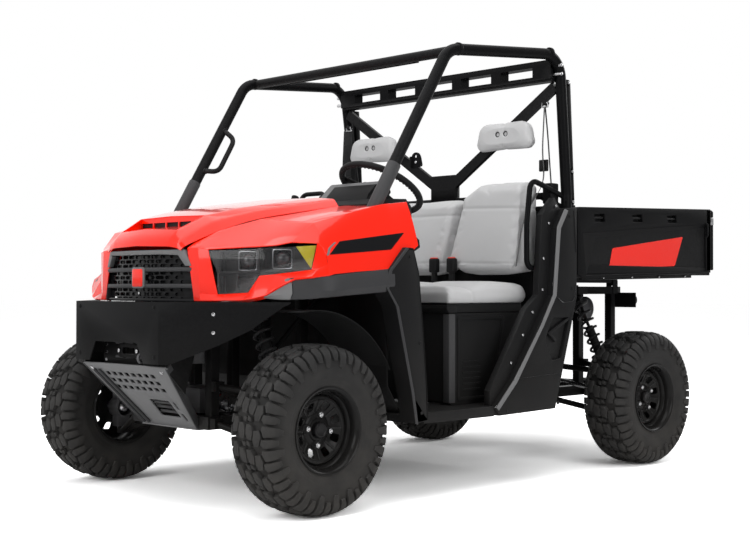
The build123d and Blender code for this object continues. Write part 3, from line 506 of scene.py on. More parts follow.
def rounded(width: float, height: float, radius: float, centre: Point2 = (0.0, 0.0),
            steps: int = 4) -> list[Point2]:
    """Outline of a rectangle with round corners.

    Args:
        width: Full width.
        height: Full height.
        radius: Corner radius.
        centre: Its middle.
        steps: Points in each corner beyond its first.

    Returns:
        The outline's points in order.
    """
    points = []
    for corner, (sx, sy) in enumerate(((1, 1), (-1, 1), (-1, -1), (1, -1))):
        cx, cy = centre[0] + sx * (width / 2 - radius), centre[1] + sy * (height / 2 - radius)
        for i in range(steps + 1):
            angle = math.radians(90 * corner + 90 * i / steps)
            points.append((cx + radius * math.cos(angle), cy + radius * math.sin(angle)))
    return points


def ring(radius: float, centre: Point2 = (0.0, 0.0), count: int = 20, start: float = 0.0) -> list[Point2]:
    """Points evenly round a circle, the first at the start angle in degrees."""
    return [(centre[0] + radius * math.cos(math.radians(start) + math.tau * i / count),
             centre[1] + radius * math.sin(math.radians(start) + math.tau * i / count)) for i in range(count)]


def soften(outline: Sequence[Point2], radius: float, steps: int = 3) -> list[Point2]:
    """Outline with its corners rounded.

    Args:
        outline: Corners in order.
        radius: Rounding, less where a side is short.
        steps: Pieces in each rounding.

    Returns:
        The rounded outline.
    """
    points = []
    for i, corner in enumerate(outline):
        here = Vector(corner)
        before, after = Vector(outline[i - 1]) - here, Vector(outline[(i + 1) % len(outline)]) - here
        reach = min(radius, before.length * 0.45, after.length * 0.45)
        a, b = here + before.normalized() * reach, here + after.normalized() * reach
        for j in range(steps + 1):
            t = j / steps
            point = a * (1 - t) ** 2 + here * 2 * t * (1 - t) + b * t * t
            points.append((point.x, point.y))
    return points


def bent(points: Sequence[Point3], radius: float, steps: int = 6) -> list[Vector]:
    """Middle line of a bent tube.

    Args:
        points: Corners and ends of the line.
        radius: How far from a corner its bend starts.
        steps: Pieces in each bend.

    Returns:
        The points of the line.
    """
    path = [Vector(p) for p in points]
    line = [path[0]]
    for before, here, after in zip(path, path[1:], path[2:]):
        reach = min(radius, (before - here).length * 0.48, (after - here).length * 0.48)
        a = here + (before - here).normalized() * reach
        b = here + (after - here).normalized() * reach
        line += [a * (1 - i / steps) ** 2 + here * 2 * (i / steps) * (1 - i / steps) + b * (i / steps) ** 2
                 for i in range(steps + 1)]
    return [*line, path[-1]]


# ---------------------------------------------------------------- finishes
class Grain(Enum):
    """Surface texture of a finish."""

    SMOOTH = "smooth"
    MOULDED = "moulded"
    CAST = "cast"
    WOVEN = "woven"
    LEATHER = "leather"
    RUBBER = "rubber"


class Graph:
    """A shader tree whose nodes are added with their settings and links in one call."""

    def __init__(self, tree: bpy.types.NodeTree) -> None:
        """Works on this tree."""
        self.tree = tree

    def fill(self, node: bpy.types.Node, inputs: dict[str | int, object]) -> bpy.types.Node:
        """Sets inputs of a node.

        Args:
            node: The node.
            inputs: A value, or the socket to link from, for each input's name or number.

        Returns:
            The same node.
        """
        for key, value in inputs.items():
            if isinstance(value, bpy.types.NodeSocket):
                self.tree.links.new(value, node.inputs[key])
            else:
                node.inputs[key].default_value = value
        return node

    def add(self, kind: str, inputs: dict[str | int, object] | None = None,
            **settings: object) -> bpy.types.Node:
        """Adds a node.

        Args:
            kind: Its type, without the leading "ShaderNode".
            inputs: What goes into its inputs.
            settings: Its own properties.

        Returns:
            The new node.
        """
        node = self.tree.nodes.new(f"ShaderNode{kind}")
        for name, value in settings.items():
            setattr(node, name, value)
        return self.fill(node, inputs or {})

    def math(self, operation: str, *values: object, clamp: bool = False) -> bpy.types.NodeSocket:
        """Result of a sum on values and sockets."""
        return self.add("Math", dict(enumerate(values)), operation=operation, use_clamp=clamp).outputs[0]

    def span(self, value: bpy.types.NodeSocket, start: Point2,
             end: Point2 = (0.0, 1.0)) -> bpy.types.NodeSocket:
        """A value carried from one range to another, and held at its ends."""
        limits = {"From Min": start[0], "From Max": start[1], "To Min": end[0], "To Max": end[1]}
        return self.add("MapRange", {"Value": value, **limits}).outputs[0]

    def blend(self, share: bpy.types.NodeSocket, first: object, second: object) -> bpy.types.NodeSocket:
        """One colour faded into another."""
        mixed = self.add("Mix", {}, data_type="RGBA")
        return self.fill(mixed, {"Factor": share, 6: first, 7: second}).outputs[2]


class Effects:
    """Shader node groups that several finishes share."""

    _built: dict[str, bpy.types.NodeTree] = {}
    folded = (0.53, 0.62)          # pointiness from which an edge counts as scuffed, and where it fully does
    dust_heights = (0.75, 0.02)    # metres above the ground where dust starts, and where it is thickest
    dust_colour = (0.30, 0.26, 0.21, 1)

    @classmethod
    def _start(cls, name: str, inputs: dict[str, object],
               outputs: dict[str, str]) -> tuple[Graph, bpy.types.NodeOutputs, bpy.types.Node]:
        """Opens a group with its sockets.

        Args:
            name: Name of the group.
            inputs: Default of each input, which also gives its kind.
            outputs: Kind of each output.

        Returns:
            The group, the sockets of its inputs, and its output node.
        """
        tree = bpy.data.node_groups.new(name, "ShaderNodeTree")
        kinds = {4: "Color", 3: "Vector", 1: "Float"}
        for label, default in inputs.items():
            width = len(default) if isinstance(default, tuple) else 1
            socket = tree.interface.new_socket(label, in_out="INPUT", socket_type=f"NodeSocket{kinds[width]}")
            socket.default_value = default
        for label, kind in outputs.items():
            tree.interface.new_socket(label, in_out="OUTPUT", socket_type=f"NodeSocket{kind}")
        return Graph(tree), tree.nodes.new("NodeGroupInput").outputs, tree.nodes.new("NodeGroupOutput")

    @classmethod
    def surface(cls) -> bpy.types.NodeTree:
        """Group that drifts a colour, scuffs it on edges, dusts it low down and gives its roughness."""
        if "surface" in cls._built:
            return cls._built["surface"]
        grey = (0.5, 0.5, 0.5, 1)
        graph, given, out = cls._start(
            "worn_surface", {"Colour": grey, "Worn Colour": grey, "Drift": 0.1, "Patch": 6.0, "Wear": 0.2,
                             "Dust": 0.1, "Roughness": 0.5, "Vector": (0, 0, 0)},
            {"Colour": "Color", "Roughness": "Float"})
        place = given["Vector"]
        noise = graph.add("TexNoise", {"Vector": place, "Scale": given["Patch"], "Detail": 5.0})
        patches = noise.outputs["Fac"]
        swing = graph.math("MULTIPLY_ADD", patches, given["Drift"], 1.0)
        drift = graph.math("MULTIPLY_ADD", given["Drift"], -0.5, swing)
        tone = graph.add("VectorMath", operation="SCALE")
        graph.fill(tone, {0: given["Colour"], "Scale": drift})
        # scuffs where the surface folds outwards, broken up by a fine noise
        pointiness = graph.add("NewGeometry").outputs["Pointiness"]
        nicks = graph.add("TexNoise", {"Vector": place, "Scale": 90.0, "Detail": 4.0}).outputs["Fac"]
        scuff = graph.math("MULTIPLY", graph.span(pointiness, cls.folded), nicks)
        scuff = graph.math("MULTIPLY", scuff, given["Wear"])
        worn = graph.blend(scuff, tone.outputs[0], given["Worn Colour"])
        # dust thins out with height
        height = graph.add("SeparateXYZ", {0: place}).outputs["Z"]
        cloud = graph.math("MULTIPLY", graph.span(height, cls.dust_heights), patches)
        settled = graph.math("MULTIPLY", cloud, given["Dust"])
        gloss = graph.math("MULTIPLY_ADD", patches, 0.16, 0.92)
        rough = graph.math("MULTIPLY", gloss, given["Roughness"], clamp=True)
        graph.fill(out, {"Colour": graph.blend(settled, worn, cls.dust_colour),
                         "Roughness": graph.math("ADD", rough, settled, clamp=True)})
        cls._built["surface"] = graph.tree
        return graph.tree

    @classmethod
    def grain(cls, kind: Grain) -> bpy.types.NodeTree:
        """Group that gives the height of a grain.

        Args:
            kind: Which grain it is.

        Returns:
            The group, made once.
        """
        if kind.value in cls._built:
            return cls._built[kind.value]
        graph, given, out = cls._start(f"{kind.value}_grain", {"Scale": 500.0, "Vector": (0, 0, 0)},
                                       {"Height": "Float"})
        place = {label: given[label] for label in ("Scale", "Vector")}
        if kind is Grain.WOVEN:
            threads = [graph.add("TexWave", {**place, "Distortion": 0.3}, bands_direction=axis).outputs["Fac"]
                       for axis in "XYZ"]
            height = graph.math("ADD", graph.math("ADD", *threads[:2]), threads[2])
        elif kind in (Grain.LEATHER, Grain.MOULDED):
            feature = "SMOOTH_F1" if kind is Grain.MOULDED else "DISTANCE_TO_EDGE"
            cells = graph.add("TexVoronoi", place, feature=feature).outputs["Distance"]
            height = graph.math("ADD", cells, graph.add("TexNoise", {**place, "Detail": 3.0}).outputs["Fac"])
        else:
            detail = {Grain.CAST: 8.0, Grain.RUBBER: 6.0}.get(kind, 2.0)
            height = graph.add("TexNoise", {**place, "Detail": detail, "Roughness": 0.65}).outputs["Fac"]
        graph.fill(out, {"Height": height})
        cls._built[kind.value] = graph.tree
        return graph.tree


@dataclass(frozen=True)
class Finish:
    """One finish: its colour as light, how rough it is and the grain on it."""

    name: str
    slot: str
    colour: Colour
    roughness: float
    metallic: float = 0.0
    coat: float = 0.0
    specular: float = 0.5
    ior: float = 1.25
    sheen: float = 0.0
    drift: float = 0.12
    patch: float = 5.0
    wear: float = 0.15
    worn: Colour = (0.35, 0.35, 0.35)
    dust: float = 0.05
    grain: Grain = Grain.SMOOTH
    grain_scale: float = 700.0
    grain_depth: float = 0.02
    bump: float = 0.0004
    # self-lit glow in the finish's own colour; any glow set here is painted light on a part that is no lamp
    glow: float = 0.0

    def material(self) -> bpy.types.Material:
        """The finish as a material, made once."""
        label = f"finish_{self.name}"
        if label in bpy.data.materials:
            return bpy.data.materials[label]
        made = bpy.data.materials.new(label)
        made.use_nodes = True
        graph = Graph(made.node_tree)
        place = graph.add("TexCoord").outputs["Object"]
        surface = graph.add("Group", node_tree=Effects.surface())
        graph.fill(surface, {"Colour": (*self.colour, 1), "Worn Colour": (*self.worn, 1), "Drift": self.drift,
                             "Patch": self.patch, "Wear": self.wear, "Dust": self.dust,
                             "Roughness": self.roughness, "Vector": place})
        grain = graph.add("Group", node_tree=Effects.grain(self.grain))
        graph.fill(grain, {"Scale": self.grain_scale, "Vector": place})
        bump = graph.add("Bump", {"Strength": self.grain_depth, "Distance": self.bump,
                                  "Height": grain.outputs["Height"]})
        shader = made.node_tree.nodes["Principled BSDF"]
        graph.fill(shader, {
            "Base Color": surface.outputs["Colour"], "Roughness": surface.outputs["Roughness"],
            "Metallic": self.metallic, "Coat Weight": self.coat, "Coat Roughness": 0.08, "Coat IOR": self.ior,
            "IOR": self.ior, "Specular IOR Level": self.specular, "Sheen Weight": self.sheen,
            "Normal": bump.outputs["Normal"]})
        # painted light: the finish glows in its own colour
        if self.glow:
            graph.fill(shader, {"Emission Color": (*self.colour, 1), "Emission Strength": self.glow})
        self.refine(shader)
        return made

    def refine(self, shader: bpy.types.Node) -> None:
        """Last changes that one kind of finish makes to its material."""


@dataclass(frozen=True)
class Glass(Finish):
    """Clear moulded lens, which lets most light straight through."""

    clearness: float = 0.75

    def refine(self, shader: bpy.types.Node) -> None:
        """Lets light through the lens."""
        shader.inputs["Alpha"].default_value = 1.0 - self.clearness


ORANGE = Finish("body_orange", "body_orange", (0.93, 0.013, 0.0005), 0.32, coat=1.0, specular=0.25, ior=1.34,
                drift=0.05, wear=0.08, worn=(1.0, 0.16, 0.06), dust=0.03, grain_scale=260.0, grain_depth=0.05,
                bump=0.0002)
BLACK_TRIM = Finish("trim_black", "trim_black", (0.0115, 0.0115, 0.012), 0.44, specular=0.26, drift=0.25,
                    worn=(0.10, 0.10, 0.10), grain=Grain.MOULDED, grain_scale=900.0, grain_depth=0.22)
GREY_TRIM = Finish("trim_grey", "trim_grey", (0.055, 0.055, 0.057), 0.42, specular=0.3, drift=0.15,
                   worn=(0.2, 0.2, 0.2), grain=Grain.MOULDED, grain_scale=900.0, grain_depth=0.2)
PALE_TRIM = Finish("trim_pale_grey", "trim_grey", (0.165, 0.165, 0.168), 0.42, specular=0.35, drift=0.12,
                   worn=(0.3, 0.3, 0.3), grain=Grain.MOULDED, grain_scale=900.0, grain_depth=0.15)
FLARE_GREY = Finish("flare_grey", "trim_grey", (0.043, 0.043, 0.045), 0.38, specular=0.35, drift=0.12,
                    worn=(0.2, 0.2, 0.2), grain=Grain.MOULDED, grain_scale=900.0, grain_depth=0.15)
GLOSS_BLACK = Finish("gloss_black", "trim_black", (0.008, 0.008, 0.009), 0.18, coat=0.35, specular=0.3,
                     drift=0.15, worn=(0.06, 0.06, 0.06))
BED_BLACK = Finish("bed_black", "trim_black", (0.0065, 0.0065, 0.007), 0.5, specular=0.2, drift=0.15,
                   worn=(0.10, 0.10, 0.10), grain=Grain.MOULDED, grain_scale=700.0, grain_depth=0.25)
POWDER = Finish("frame_black", "frame_black", (0.0055, 0.0055, 0.006), 0.34, specular=0.18, drift=0.2,
                wear=0.2, worn=(0.12, 0.12, 0.12), grain=Grain.CAST, grain_scale=420.0, grain_depth=0.10)
RUBBER = Finish("tyre_rubber", "tyre_rubber", (0.024, 0.024, 0.0245), 0.56, specular=0.32, drift=0.45,
                patch=14.0, wear=0.35, worn=(0.12, 0.12, 0.12), dust=0.12, grain=Grain.RUBBER,
                grain_scale=350.0, grain_depth=0.35, bump=0.0006)
RIM_BLACK = Finish("rim_steel", "rim_steel", (0.008, 0.008, 0.0085), 0.24, coat=0.2, specular=0.3, drift=0.2,
                   wear=0.2, worn=(0.10, 0.10, 0.10), grain_depth=0.03)
CAST = Finish("cast_metal", "cast_metal", (0.10, 0.10, 0.105), 0.5, metallic=0.8, drift=0.3, wear=0.3,
              worn=(0.35, 0.35, 0.35), dust=0.15, grain=Grain.CAST, grain_scale=260.0, grain_depth=0.3)
BRIGHT = Finish("bright_steel", "bright_steel", (0.62, 0.62, 0.63), 0.26, metallic=1.0, drift=0.1, wear=0.1,
                worn=(0.8, 0.8, 0.8), grain=Grain.CAST, grain_scale=500.0, grain_depth=0.05)
VINYL = Finish("seat_vinyl", "seat_vinyl", (0.55, 0.55, 0.555), 0.52, specular=0.4, sheen=0.15, drift=0.08,
               wear=0.05, worn=(0.6, 0.6, 0.6), dust=0.0, grain=Grain.LEATHER, grain_scale=420.0,
               grain_depth=0.35)
GRIP = Finish("wheel_grip", "wheel_grip", (0.012, 0.012, 0.0125), 0.5, specular=0.3, drift=0.2,
              grain=Grain.LEATHER, grain_scale=900.0, grain_depth=0.3)
SPRING = Finish("spring_steel", "spring_steel", (0.012, 0.012, 0.013), 0.3, coat=0.2, specular=0.3, wear=0.3,
                worn=(0.2, 0.2, 0.2))
WEBBING = Finish("belt_web", "belt_web", (0.016, 0.016, 0.017), 0.7, sheen=0.3, drift=0.2, grain=Grain.WOVEN,
                 grain_scale=240.0, grain_depth=0.5, bump=0.0005)
RED_BUTTON = Finish("red_button", "lamp_red", (0.85, 0.05, 0.02), 0.35)
DECAL_RED = Finish("decal_red", "body_orange", (0.90, 0.022, 0.012), 0.30, coat=0.6, drift=0.04,
                   grain_depth=0.01)
# amber reflector with a weak glow: painted light, as the reflector is no lamp
AMBER_PAINTED_GLOW = Finish("reflector_amber_painted_glow", "lens_clear", (0.85, 0.72, 0.02), 0.22, coat=0.6, drift=0.1, glow=0.12,
               grain=Grain.MOULDED, grain_scale=160.0, grain_depth=0.4)
RED_LENS = Finish("lamp_red", "lamp_red", (0.45, 0.01, 0.008), 0.18, coat=0.6, drift=0.08,
                  grain=Grain.MOULDED, grain_scale=140.0, grain_depth=0.3)
LAMP_LENS = Glass("lens_clear", "lens_clear", (0.03, 0.03, 0.032), 0.04, specular=0.8, ior=1.5, drift=0.0,
                  wear=0.0, dust=0.0, grain_depth=0.0)
LAMP_BLACK = Finish("lamp_black", "trim_black", (0.012, 0.012, 0.013), 0.3, coat=0.2, specular=0.4, drift=0.2)
PROJECTOR = Finish("projector_glass", "lens_clear", (0.035, 0.036, 0.04), 0.07, coat=1.0, ior=1.5, drift=0.0,
                   wear=0.0, dust=0.0, grain=Grain.MOULDED, grain_scale=70.0, grain_depth=0.3, bump=0.001)
REFLECTOR = Finish("lamp_reflector", "bright_steel", (0.55, 0.56, 0.58), 0.16, metallic=1.0, wear=0.0,
                   dust=0.0)
ENGINE_GREY = Finish("engine_block", "cast_metal", (0.06, 0.06, 0.062), 0.55, metallic=0.5, drift=0.3,
                     dust=0.15, grain=Grain.CAST, grain_scale=200.0, grain_depth=0.35)

SLOT_FINISH = {finish.slot: finish for finish in (
    RED_LENS, LAMP_LENS, ORANGE, BLACK_TRIM, GREY_TRIM, POWDER, RUBBER, RIM_BLACK, CAST, BRIGHT, VINYL, GRIP,
    SPRING, WEBBING)}


def carry_over() -> None:
    """Gives every frame node the finish of its slot."""
    slots = {part["node"]: part["material_slot"] for part in frame["record"]["subparts"]}
    for name, node in frame["nodes"].items():
        node.data.materials.clear()
        node.data.materials.append(SLOT_FINISH[slots[name]].material())


# ---------------------------------------------------------------- studio
@dataclass(frozen=True)
class Studio:
    """Pale floor and background, soft lamps and the camera."""

    camera_at: Point3 = (4.4655, 4.3079, 0.8589)
    heading: float = 225.25
    tilt: float = 0.77
    roll: float = 0.10
    lens: float = 61.73
    floor_half: float = 60.0
    lamp_target: Point3 = (0.2, 0.0, 0.9)
    # name, place, size, power
    lamp_rows: tuple[tuple[str, Point3, float, float], ...] = (
        ("overhead", (0.8, 0.6, 5.2), 5.0, 150.0), ("front_soft", (6.5, 0.5, 3.2), 3.5, 150.0),
        ("left_soft", (1.0, 6.5, 3.0), 3.5, 120.0), ("rear_rim", (-5.5, 1.5, 3.6), 2.5, 60.0))

    def build(self) -> None:
        """Builds the whole studio."""
        self.sky()
        self.floor()
        self.lamps()
        self.camera()

    @staticmethod
    def sky() -> None:
        """White background that lights less than it shows, with a dark flag on the vehicle's left."""
        world = bpy.data.worlds.new("studio")
        bpy.context.scene.world = world
        world.use_nodes = True
        graph = Graph(world.node_tree)
        rays = graph.add("LightPath").outputs
        seen = graph.math("MAXIMUM", rays["Is Camera Ray"], rays["Is Transmission Ray"])
        strength = graph.span(seen, (0.0, 1.0), (0.42, 1.0))
        direction = graph.add("SeparateXYZ", {0: graph.add("TexCoord").outputs["Generated"]})
        flag = graph.span(direction.outputs["Y"], (0.0, 0.45), (1.0, 0.25))
        mixed = graph.add("Mix", {"Factor": rays["Is Glossy Ray"], "A": strength, "B": flag})
        graph.fill(world.node_tree.nodes["Background"],
                   {"Color": (1, 1, 1, 1), "Strength": mixed.outputs["Result"]})

    def floor(self) -> None:
        """Pale floor that keeps the vehicle's shadow."""
        form = Form()
        bmesh.ops.create_grid(form.mesh, x_segments=1, y_segments=1, size=self.floor_half)
        data = bpy.data.meshes.new("studio_floor")
        form.mesh.to_mesh(data)
        form.mesh.free()
        obj = bpy.data.objects.new("studio_floor", data)
        bpy.context.scene.collection.objects.link(obj)
        made = bpy.data.materials.new("studio_floor")
        made.use_nodes = True
        nodes = made.node_tree.nodes
        nodes.remove(nodes["Principled BSDF"])
        graph = Graph(made.node_tree)
        camera_ray = graph.add("LightPath").outputs["Is Camera Ray"]
        paper = graph.add("BsdfDiffuse", {"Color": graph.span(camera_ray, (0.0, 1.0), (0.92, 2.3))})
        glow = graph.add("Emission", {"Strength": graph.math("MULTIPLY", camera_ray, 0.03)})
        both = graph.add("AddShader", {0: paper.outputs[0], 1: glow.outputs[0]})
        graph.fill(nodes["Material Output"], {"Surface": both.outputs[0]})
        data.materials.append(made)

    def lamps(self) -> None:
        """Soft lamps: one overhead, one from the front, one from the vehicle's left and one behind."""
        for name, place, size, power in self.lamp_rows:
            data = bpy.data.lights.new(name, "AREA")
            data.size = size
            data.energy = power
            lamp = bpy.data.objects.new(name, data)
            lamp.location = place
            aim = Vector(self.lamp_target) - Vector(place)
            lamp.rotation_euler = aim.to_track_quat("-Z", "Y").to_euler()
            bpy.context.scene.collection.objects.link(lamp)

    def camera(self) -> None:
        """Camera at the front left, at hood height."""
        data = bpy.data.cameras.new("camera")
        data.lens = self.lens
        data.sensor_width = 36.0
        camera = bpy.data.objects.new("camera", data)
        heading, tilt = math.radians(self.heading), math.radians(self.tilt)
        look = Vector((math.cos(heading) * math.cos(tilt), math.sin(heading) * math.cos(tilt),
                       math.sin(tilt)))
        camera.location = self.camera_at
        turn = look.to_track_quat("-Z", "Y").to_matrix() @ Matrix.Rotation(math.radians(self.roll), 3, "Z")
        camera.rotation_euler = turn.to_euler()
        bpy.context.scene.collection.objects.link(camera)
        bpy.context.scene.camera = camera


# ---------------------------------------------------------------- wheels
TYRE_RADIUS = 325.0
AXLE_LINE = Vector((0, 1, 0))


@dataclass(frozen=True)
class Corner:
    """Where one wheel stands."""

    name: str
    axle: float
    track: float
    side: int

    @property
    def centre(self) -> Point3:
        """Middle of the wheel."""
        return (self.axle, self.side * self.track / 2, TYRE_RADIUS)


CORNERS = (Corner("front_left", 1200, 1346, 1), Corner("front_right", 1200, 1346, -1),
           Corner("rear_left", -950, 1390, 1), Corner("rear_right", -950, 1390, -1))


@dataclass(frozen=True)
class Tyre:
    """All-terrain tyre: a turned carcass with blocks wrapped round it."""

    steps: int = 112
    lugs: int = 22
    radius: float = TYRE_RADIUS
    lug_height: float = 21.0
    # half section from the middle of the tread to the bead: (across, radius)
    section: tuple[Point2, ...] = ((0, 304), (30, 303.5), (58, 301.5), (80, 297), (94, 290), (103, 279),
                                   (108, 266), (111, 250), (111.5, 232), (110, 214), (106, 199), (104, 196),
                                   (104, 190), (100, 185), (99, 176), (96, 166), (91, 158), (86, 153))
    # blocks on the left half, (round, across) corners over one pitch
    inner_block: tuple[Point2, ...] = ((2, 5), (30, 2), (46, 12), (50, 33), (24, 39), (4, 27))
    cross_block: tuple[Point2, ...] = ((52, 4), (66, 2), (70, 22), (56, 18))
    middle_block: tuple[Point2, ...] = ((20, 45), (50, 40), (66, 48), (66, 66), (38, 75), (18, 68))
    long_lug: tuple[Point2, ...] = ((4, 80), (16, 76), (38, 82), (38, 108), (33, 148), (15, 152), (8, 130),
                                    (6, 108))
    short_lug: tuple[Point2, ...] = ((46, 78), (62, 74), (73, 82), (72, 110), (67, 128), (50, 128), (46, 106))
    drawn_pitch: float = 76.0      # pitch at which the blocks are drawn
    stagger: float = 0.62          # how far the right half's blocks lag, in pitches
    shoulder: float = 84.0         # where the lugs start to get lower towards the bead
    bends: tuple[float, ...] = (58, 88, 100, 112, 124, 138)
    rib: tuple[Point2, ...] = ((40.5, 118), (43, 118), (43, 158), (40.5, 158))

    def surface(self, across: float) -> tuple[float, float, Vector]:
        """Place on the carcass.

        Args:
            across: Distance along the section from the middle of the tread, signed.

        Returns:
            Distance across, radius, and the outward direction as (across, radial).
        """
        left, reach = abs(across), 0.0
        for (y0, r0), (y1, r1) in zip(self.section, self.section[1:]):
            run = math.hypot(y1 - y0, r1 - r0)
            if reach + run >= left or (y1, r1) == self.section[-1]:
                t = (left - reach) / run
                sign = -1.0 if across < 0 else 1.0
                return (sign * (y0 + (y1 - y0) * t), r0 + (r1 - r0) * t,
                        Vector((sign * (r0 - r1) / run, (y1 - y0) / run)))
            reach += run
        raise ValueError(across)

    def height(self, across: float) -> float:
        """Share of the full lug height at a distance from the middle of the tread."""
        beyond = max(0.0, abs(across) - self.shoulder)
        return max(0.28, 1.0 - beyond / 95)

    def wrap(self, flat: Vector) -> Vector:
        """Takes a point of the flat tread to the tyre.

        Args:
            flat: The point as (distance round, distance across, height).

        Returns:
            The point on a tyre centred on the origin.
        """
        y, r, out = self.surface(flat.y)
        lift = flat.z * (self.height(flat.y) if flat.z > 0 else 1.0)
        angle = flat.x / self.radius
        radius = r + out.y * lift
        return Vector((radius * math.sin(angle), y + out.x * lift, radius * math.cos(angle)))

    def block(self, outline: Sequence[Point2], tall: float, bevel: float = 2.6) -> Form:
        """One block, flat, with its top edges rounded and cut where the carcass bends under it.

        Args:
            outline: Its corners as (round, across).
            tall: Height over the tread's floor.
            bevel: Width of the rounding.

        Returns:
            The block.
        """
        block = Form.prism(plan_plane(0), outline, -5, tall)
        rims = [edge for edge in block.mesh.edges if min(vert.co.z for vert in edge.verts) > 0]
        return block.round_off(rims, bevel).sliced(self.bends, 0.01)

    def form(self) -> Form:
        """The whole tyre about the origin, its axis along Y."""
        outer = [*[(-y, r) for y, r in reversed(self.section[1:])], *self.section]
        inner = [(78, 158), (-78, 158)]
        carcass = Form.lathe([*outer, *inner, outer[0]], (0, 0, 0), AXLE_LINE, self.steps)
        pitch = math.tau * self.radius / self.lugs
        kit = []
        for outline, tall in ((self.inner_block, 1.0), (self.middle_block, 1.0), (self.cross_block, 0.75),
                              (self.long_lug, 0.95), (self.short_lug, 0.95)):
            spread = [(u * pitch / self.drawn_pitch, v) for u, v in outline]
            kit.append(self.block(spread, self.lug_height * tall))
        kit.append(self.block(self.rib, 3.0, 0.8))
        left = Form.join(kit)
        right = left.copy().turn(180, (0, 0, 1)).move(x=pitch * self.stagger)
        unit = Form.join([left, right])
        unit.reshape(self.wrap)
        unit.outward()
        ringed = [unit.copy().turn(360 / self.lugs * i, AXLE_LINE) for i in range(self.lugs)]
        unit.mesh.free()
        return Form.join([carcass, *ringed])


@dataclass(frozen=True)
class Rim:
    """Stepped steel wheel with round-cornered windows, four bright nuts and a cap."""

    steps: int = 80
    # section from the outer lip inwards, turned over to the inner lip: (outboard of the middle, radius)
    barrel: tuple[Point2, ...] = ((101, 160), (102, 163), (101, 166), (97, 166), (93, 163), (91, 154),
                                  (86, 151), (-86, 151), (-91, 154), (-93, 163), (-97, 166), (-101, 166),
                                  (-102, 162), (-98, 152), (-84, 146), (36, 132), (48, 134), (56, 137),
                                  (62, 143), (78, 144), (84, 147), (90, 150), (98, 155), (101, 160))
    dish: tuple[Point2, ...] = ((31, 133), (44, 131), (49, 126), (50, 118), (46, 113), (41, 112), (40, 118),
                                (36, 126), (31, 133))
    centre: tuple[Point2, ...] = ((20, 0), (20, 64), (27, 64), (30, 60), (31, 44), (36, 40), (37, 36),
                                  (37, 0))
    cap: tuple[Point2, ...] = ((30, 0), (30, 33), (52, 31), (56, 28), (57, 22), (55, 19), (55, 0))
    nut_circle: float = 58.0

    def window(self, angle: float) -> list[Point2]:
        """Outline of one window.

        Args:
            angle: Where it stands round the wheel, in degrees.

        Returns:
            Its corners in order, rounded.
        """
        corners = [(76, -13), (108, -17), (108, 17), (76, 13)]
        turn = math.radians(angle)
        turned = [(r * math.cos(turn) - s * math.sin(turn), r * math.sin(turn) + s * math.cos(turn))
                  for r, s in corners]
        return soften(turned, 9, 4)

    def dished(self, point: Vector) -> Vector:
        """Presses the flat disc into its dish.

        Args:
            point: A point of the flat disc.

        Returns:
            Its place in the dish.
        """
        radius = math.hypot(point.x, point.z)
        rise = 18 * max(0.0, min(1.0, (radius - 66) / 40)) ** 1.5
        return Vector((point.x, point.y + rise, point.z))

    def form(self, outward: int) -> Form:
        """The wheel about the origin, its axis along Y and its face outboard.

        Args:
            outward: 1 for a left wheel, -1 for a right one.

        Returns:
            The form, painted black (0), bright (1) and cap (2).
        """
        axis = AXLE_LINE
        windows = [self.window(45 * i + 22.5) for i in range(8)]
        disc = Form.prism(side_plane(0), ring(116, count=64), 21, 27, [ring(60, count=40), *windows])
        disc.bevel(1.6, 2, 60)
        disc.reshape(self.dished)
        centre = Form.lathe(self.centre, (0, 0, 0), axis, 48).bevel(1.2)
        turned = [Form.lathe(profile, (0, 0, 0), axis, self.steps) for profile in (self.barrel, self.dish)]
        parts = [*turned, disc, centre]
        for i in range(8):
            angle = math.radians(45 * i)
            across = Vector((math.cos(angle), 0, math.sin(angle)))
            parts.append(Form.rod(across * 66 + axis * 24, across * 112 + axis * 44, 7, 4.5, 12))
        parts.append(Form.rod((128, 40, 12), (133, 62, 14), 3.4, 3.0, 12))
        for i in range(4):
            angle = math.radians(90 * i + 8)
            x, z = self.nut_circle * math.cos(angle), self.nut_circle * math.sin(angle)
            parts.append(Form.lathe([(24, 0), (24, 22), (33, 17), (35, 15), (35, 0)], (x, 0, z), axis, 24))
            nut = Form.bolt((x, 33, z), (x, 49, z), 11, 1.4)
            cone = Form.rod((x, 49, z), (x, 52, z), 7.5, 5.0, 20)
            parts += [nut.paint(1), cone.paint(1)]
        parts.append(Form.lathe(self.cap, (0, 0, 0), axis, 40).bevel(1.0, 2, 30).paint(2))
        whole = Form.join(parts)
        return whole.mirror() if outward < 0 else whole


@dataclass(frozen=True)
class Wheels:
    """The four wheels."""

    tyre: Tyre = Tyre()
    rim: Rim = Rim()

    def build(self) -> None:
        """Builds a tyre and a rim at each corner."""
        tyre = self.tyre.form()
        for i, corner in enumerate(CORNERS):
            body = f"wheel_{corner.name}"
            x, y, z = corner.centre
            worn = tyre.copy().turn(47.0 * i, AXLE_LINE)
            if corner.side < 0:
                worn.mirror()
            worn.move(x, y, z).piece(f"tread_{corner.name}", body, (RUBBER,), (f"tyre_{corner.name}",),
                                     smooth=40)
            rim = self.rim.form(corner.side).turn(19.0 * i, AXLE_LINE).move(x, y, z)
            rim.piece(f"wheel_disc_{corner.name}", body, (RIM_BLACK, BRIGHT, GLOSS_BLACK),
                      (f"rim_{corner.name}",))
        tyre.mesh.free()


# ---------------------------------------------------------------- frame nodes with their edges rounded
def traced(node: str) -> Form:
    """Copy of a frame node with its flat faces whole again.

    Args:
        node: Name of the node.

    Returns:
        The form, in millimetres.
    """
    form = Form()
    form.mesh.from_mesh(frame["nodes"][node].data)
    mesh = form.mesh
    bmesh.ops.scale(mesh, verts=mesh.verts, vec=(1 / MM, 1 / MM, 1 / MM))
    bmesh.ops.remove_doubles(mesh, verts=mesh.verts, dist=0.02)
    bmesh.ops.dissolve_limit(mesh, angle_limit=math.radians(1.0), verts=mesh.verts, edges=mesh.edges,
                             use_dissolve_boundaries=False, delimit=set())
    return form


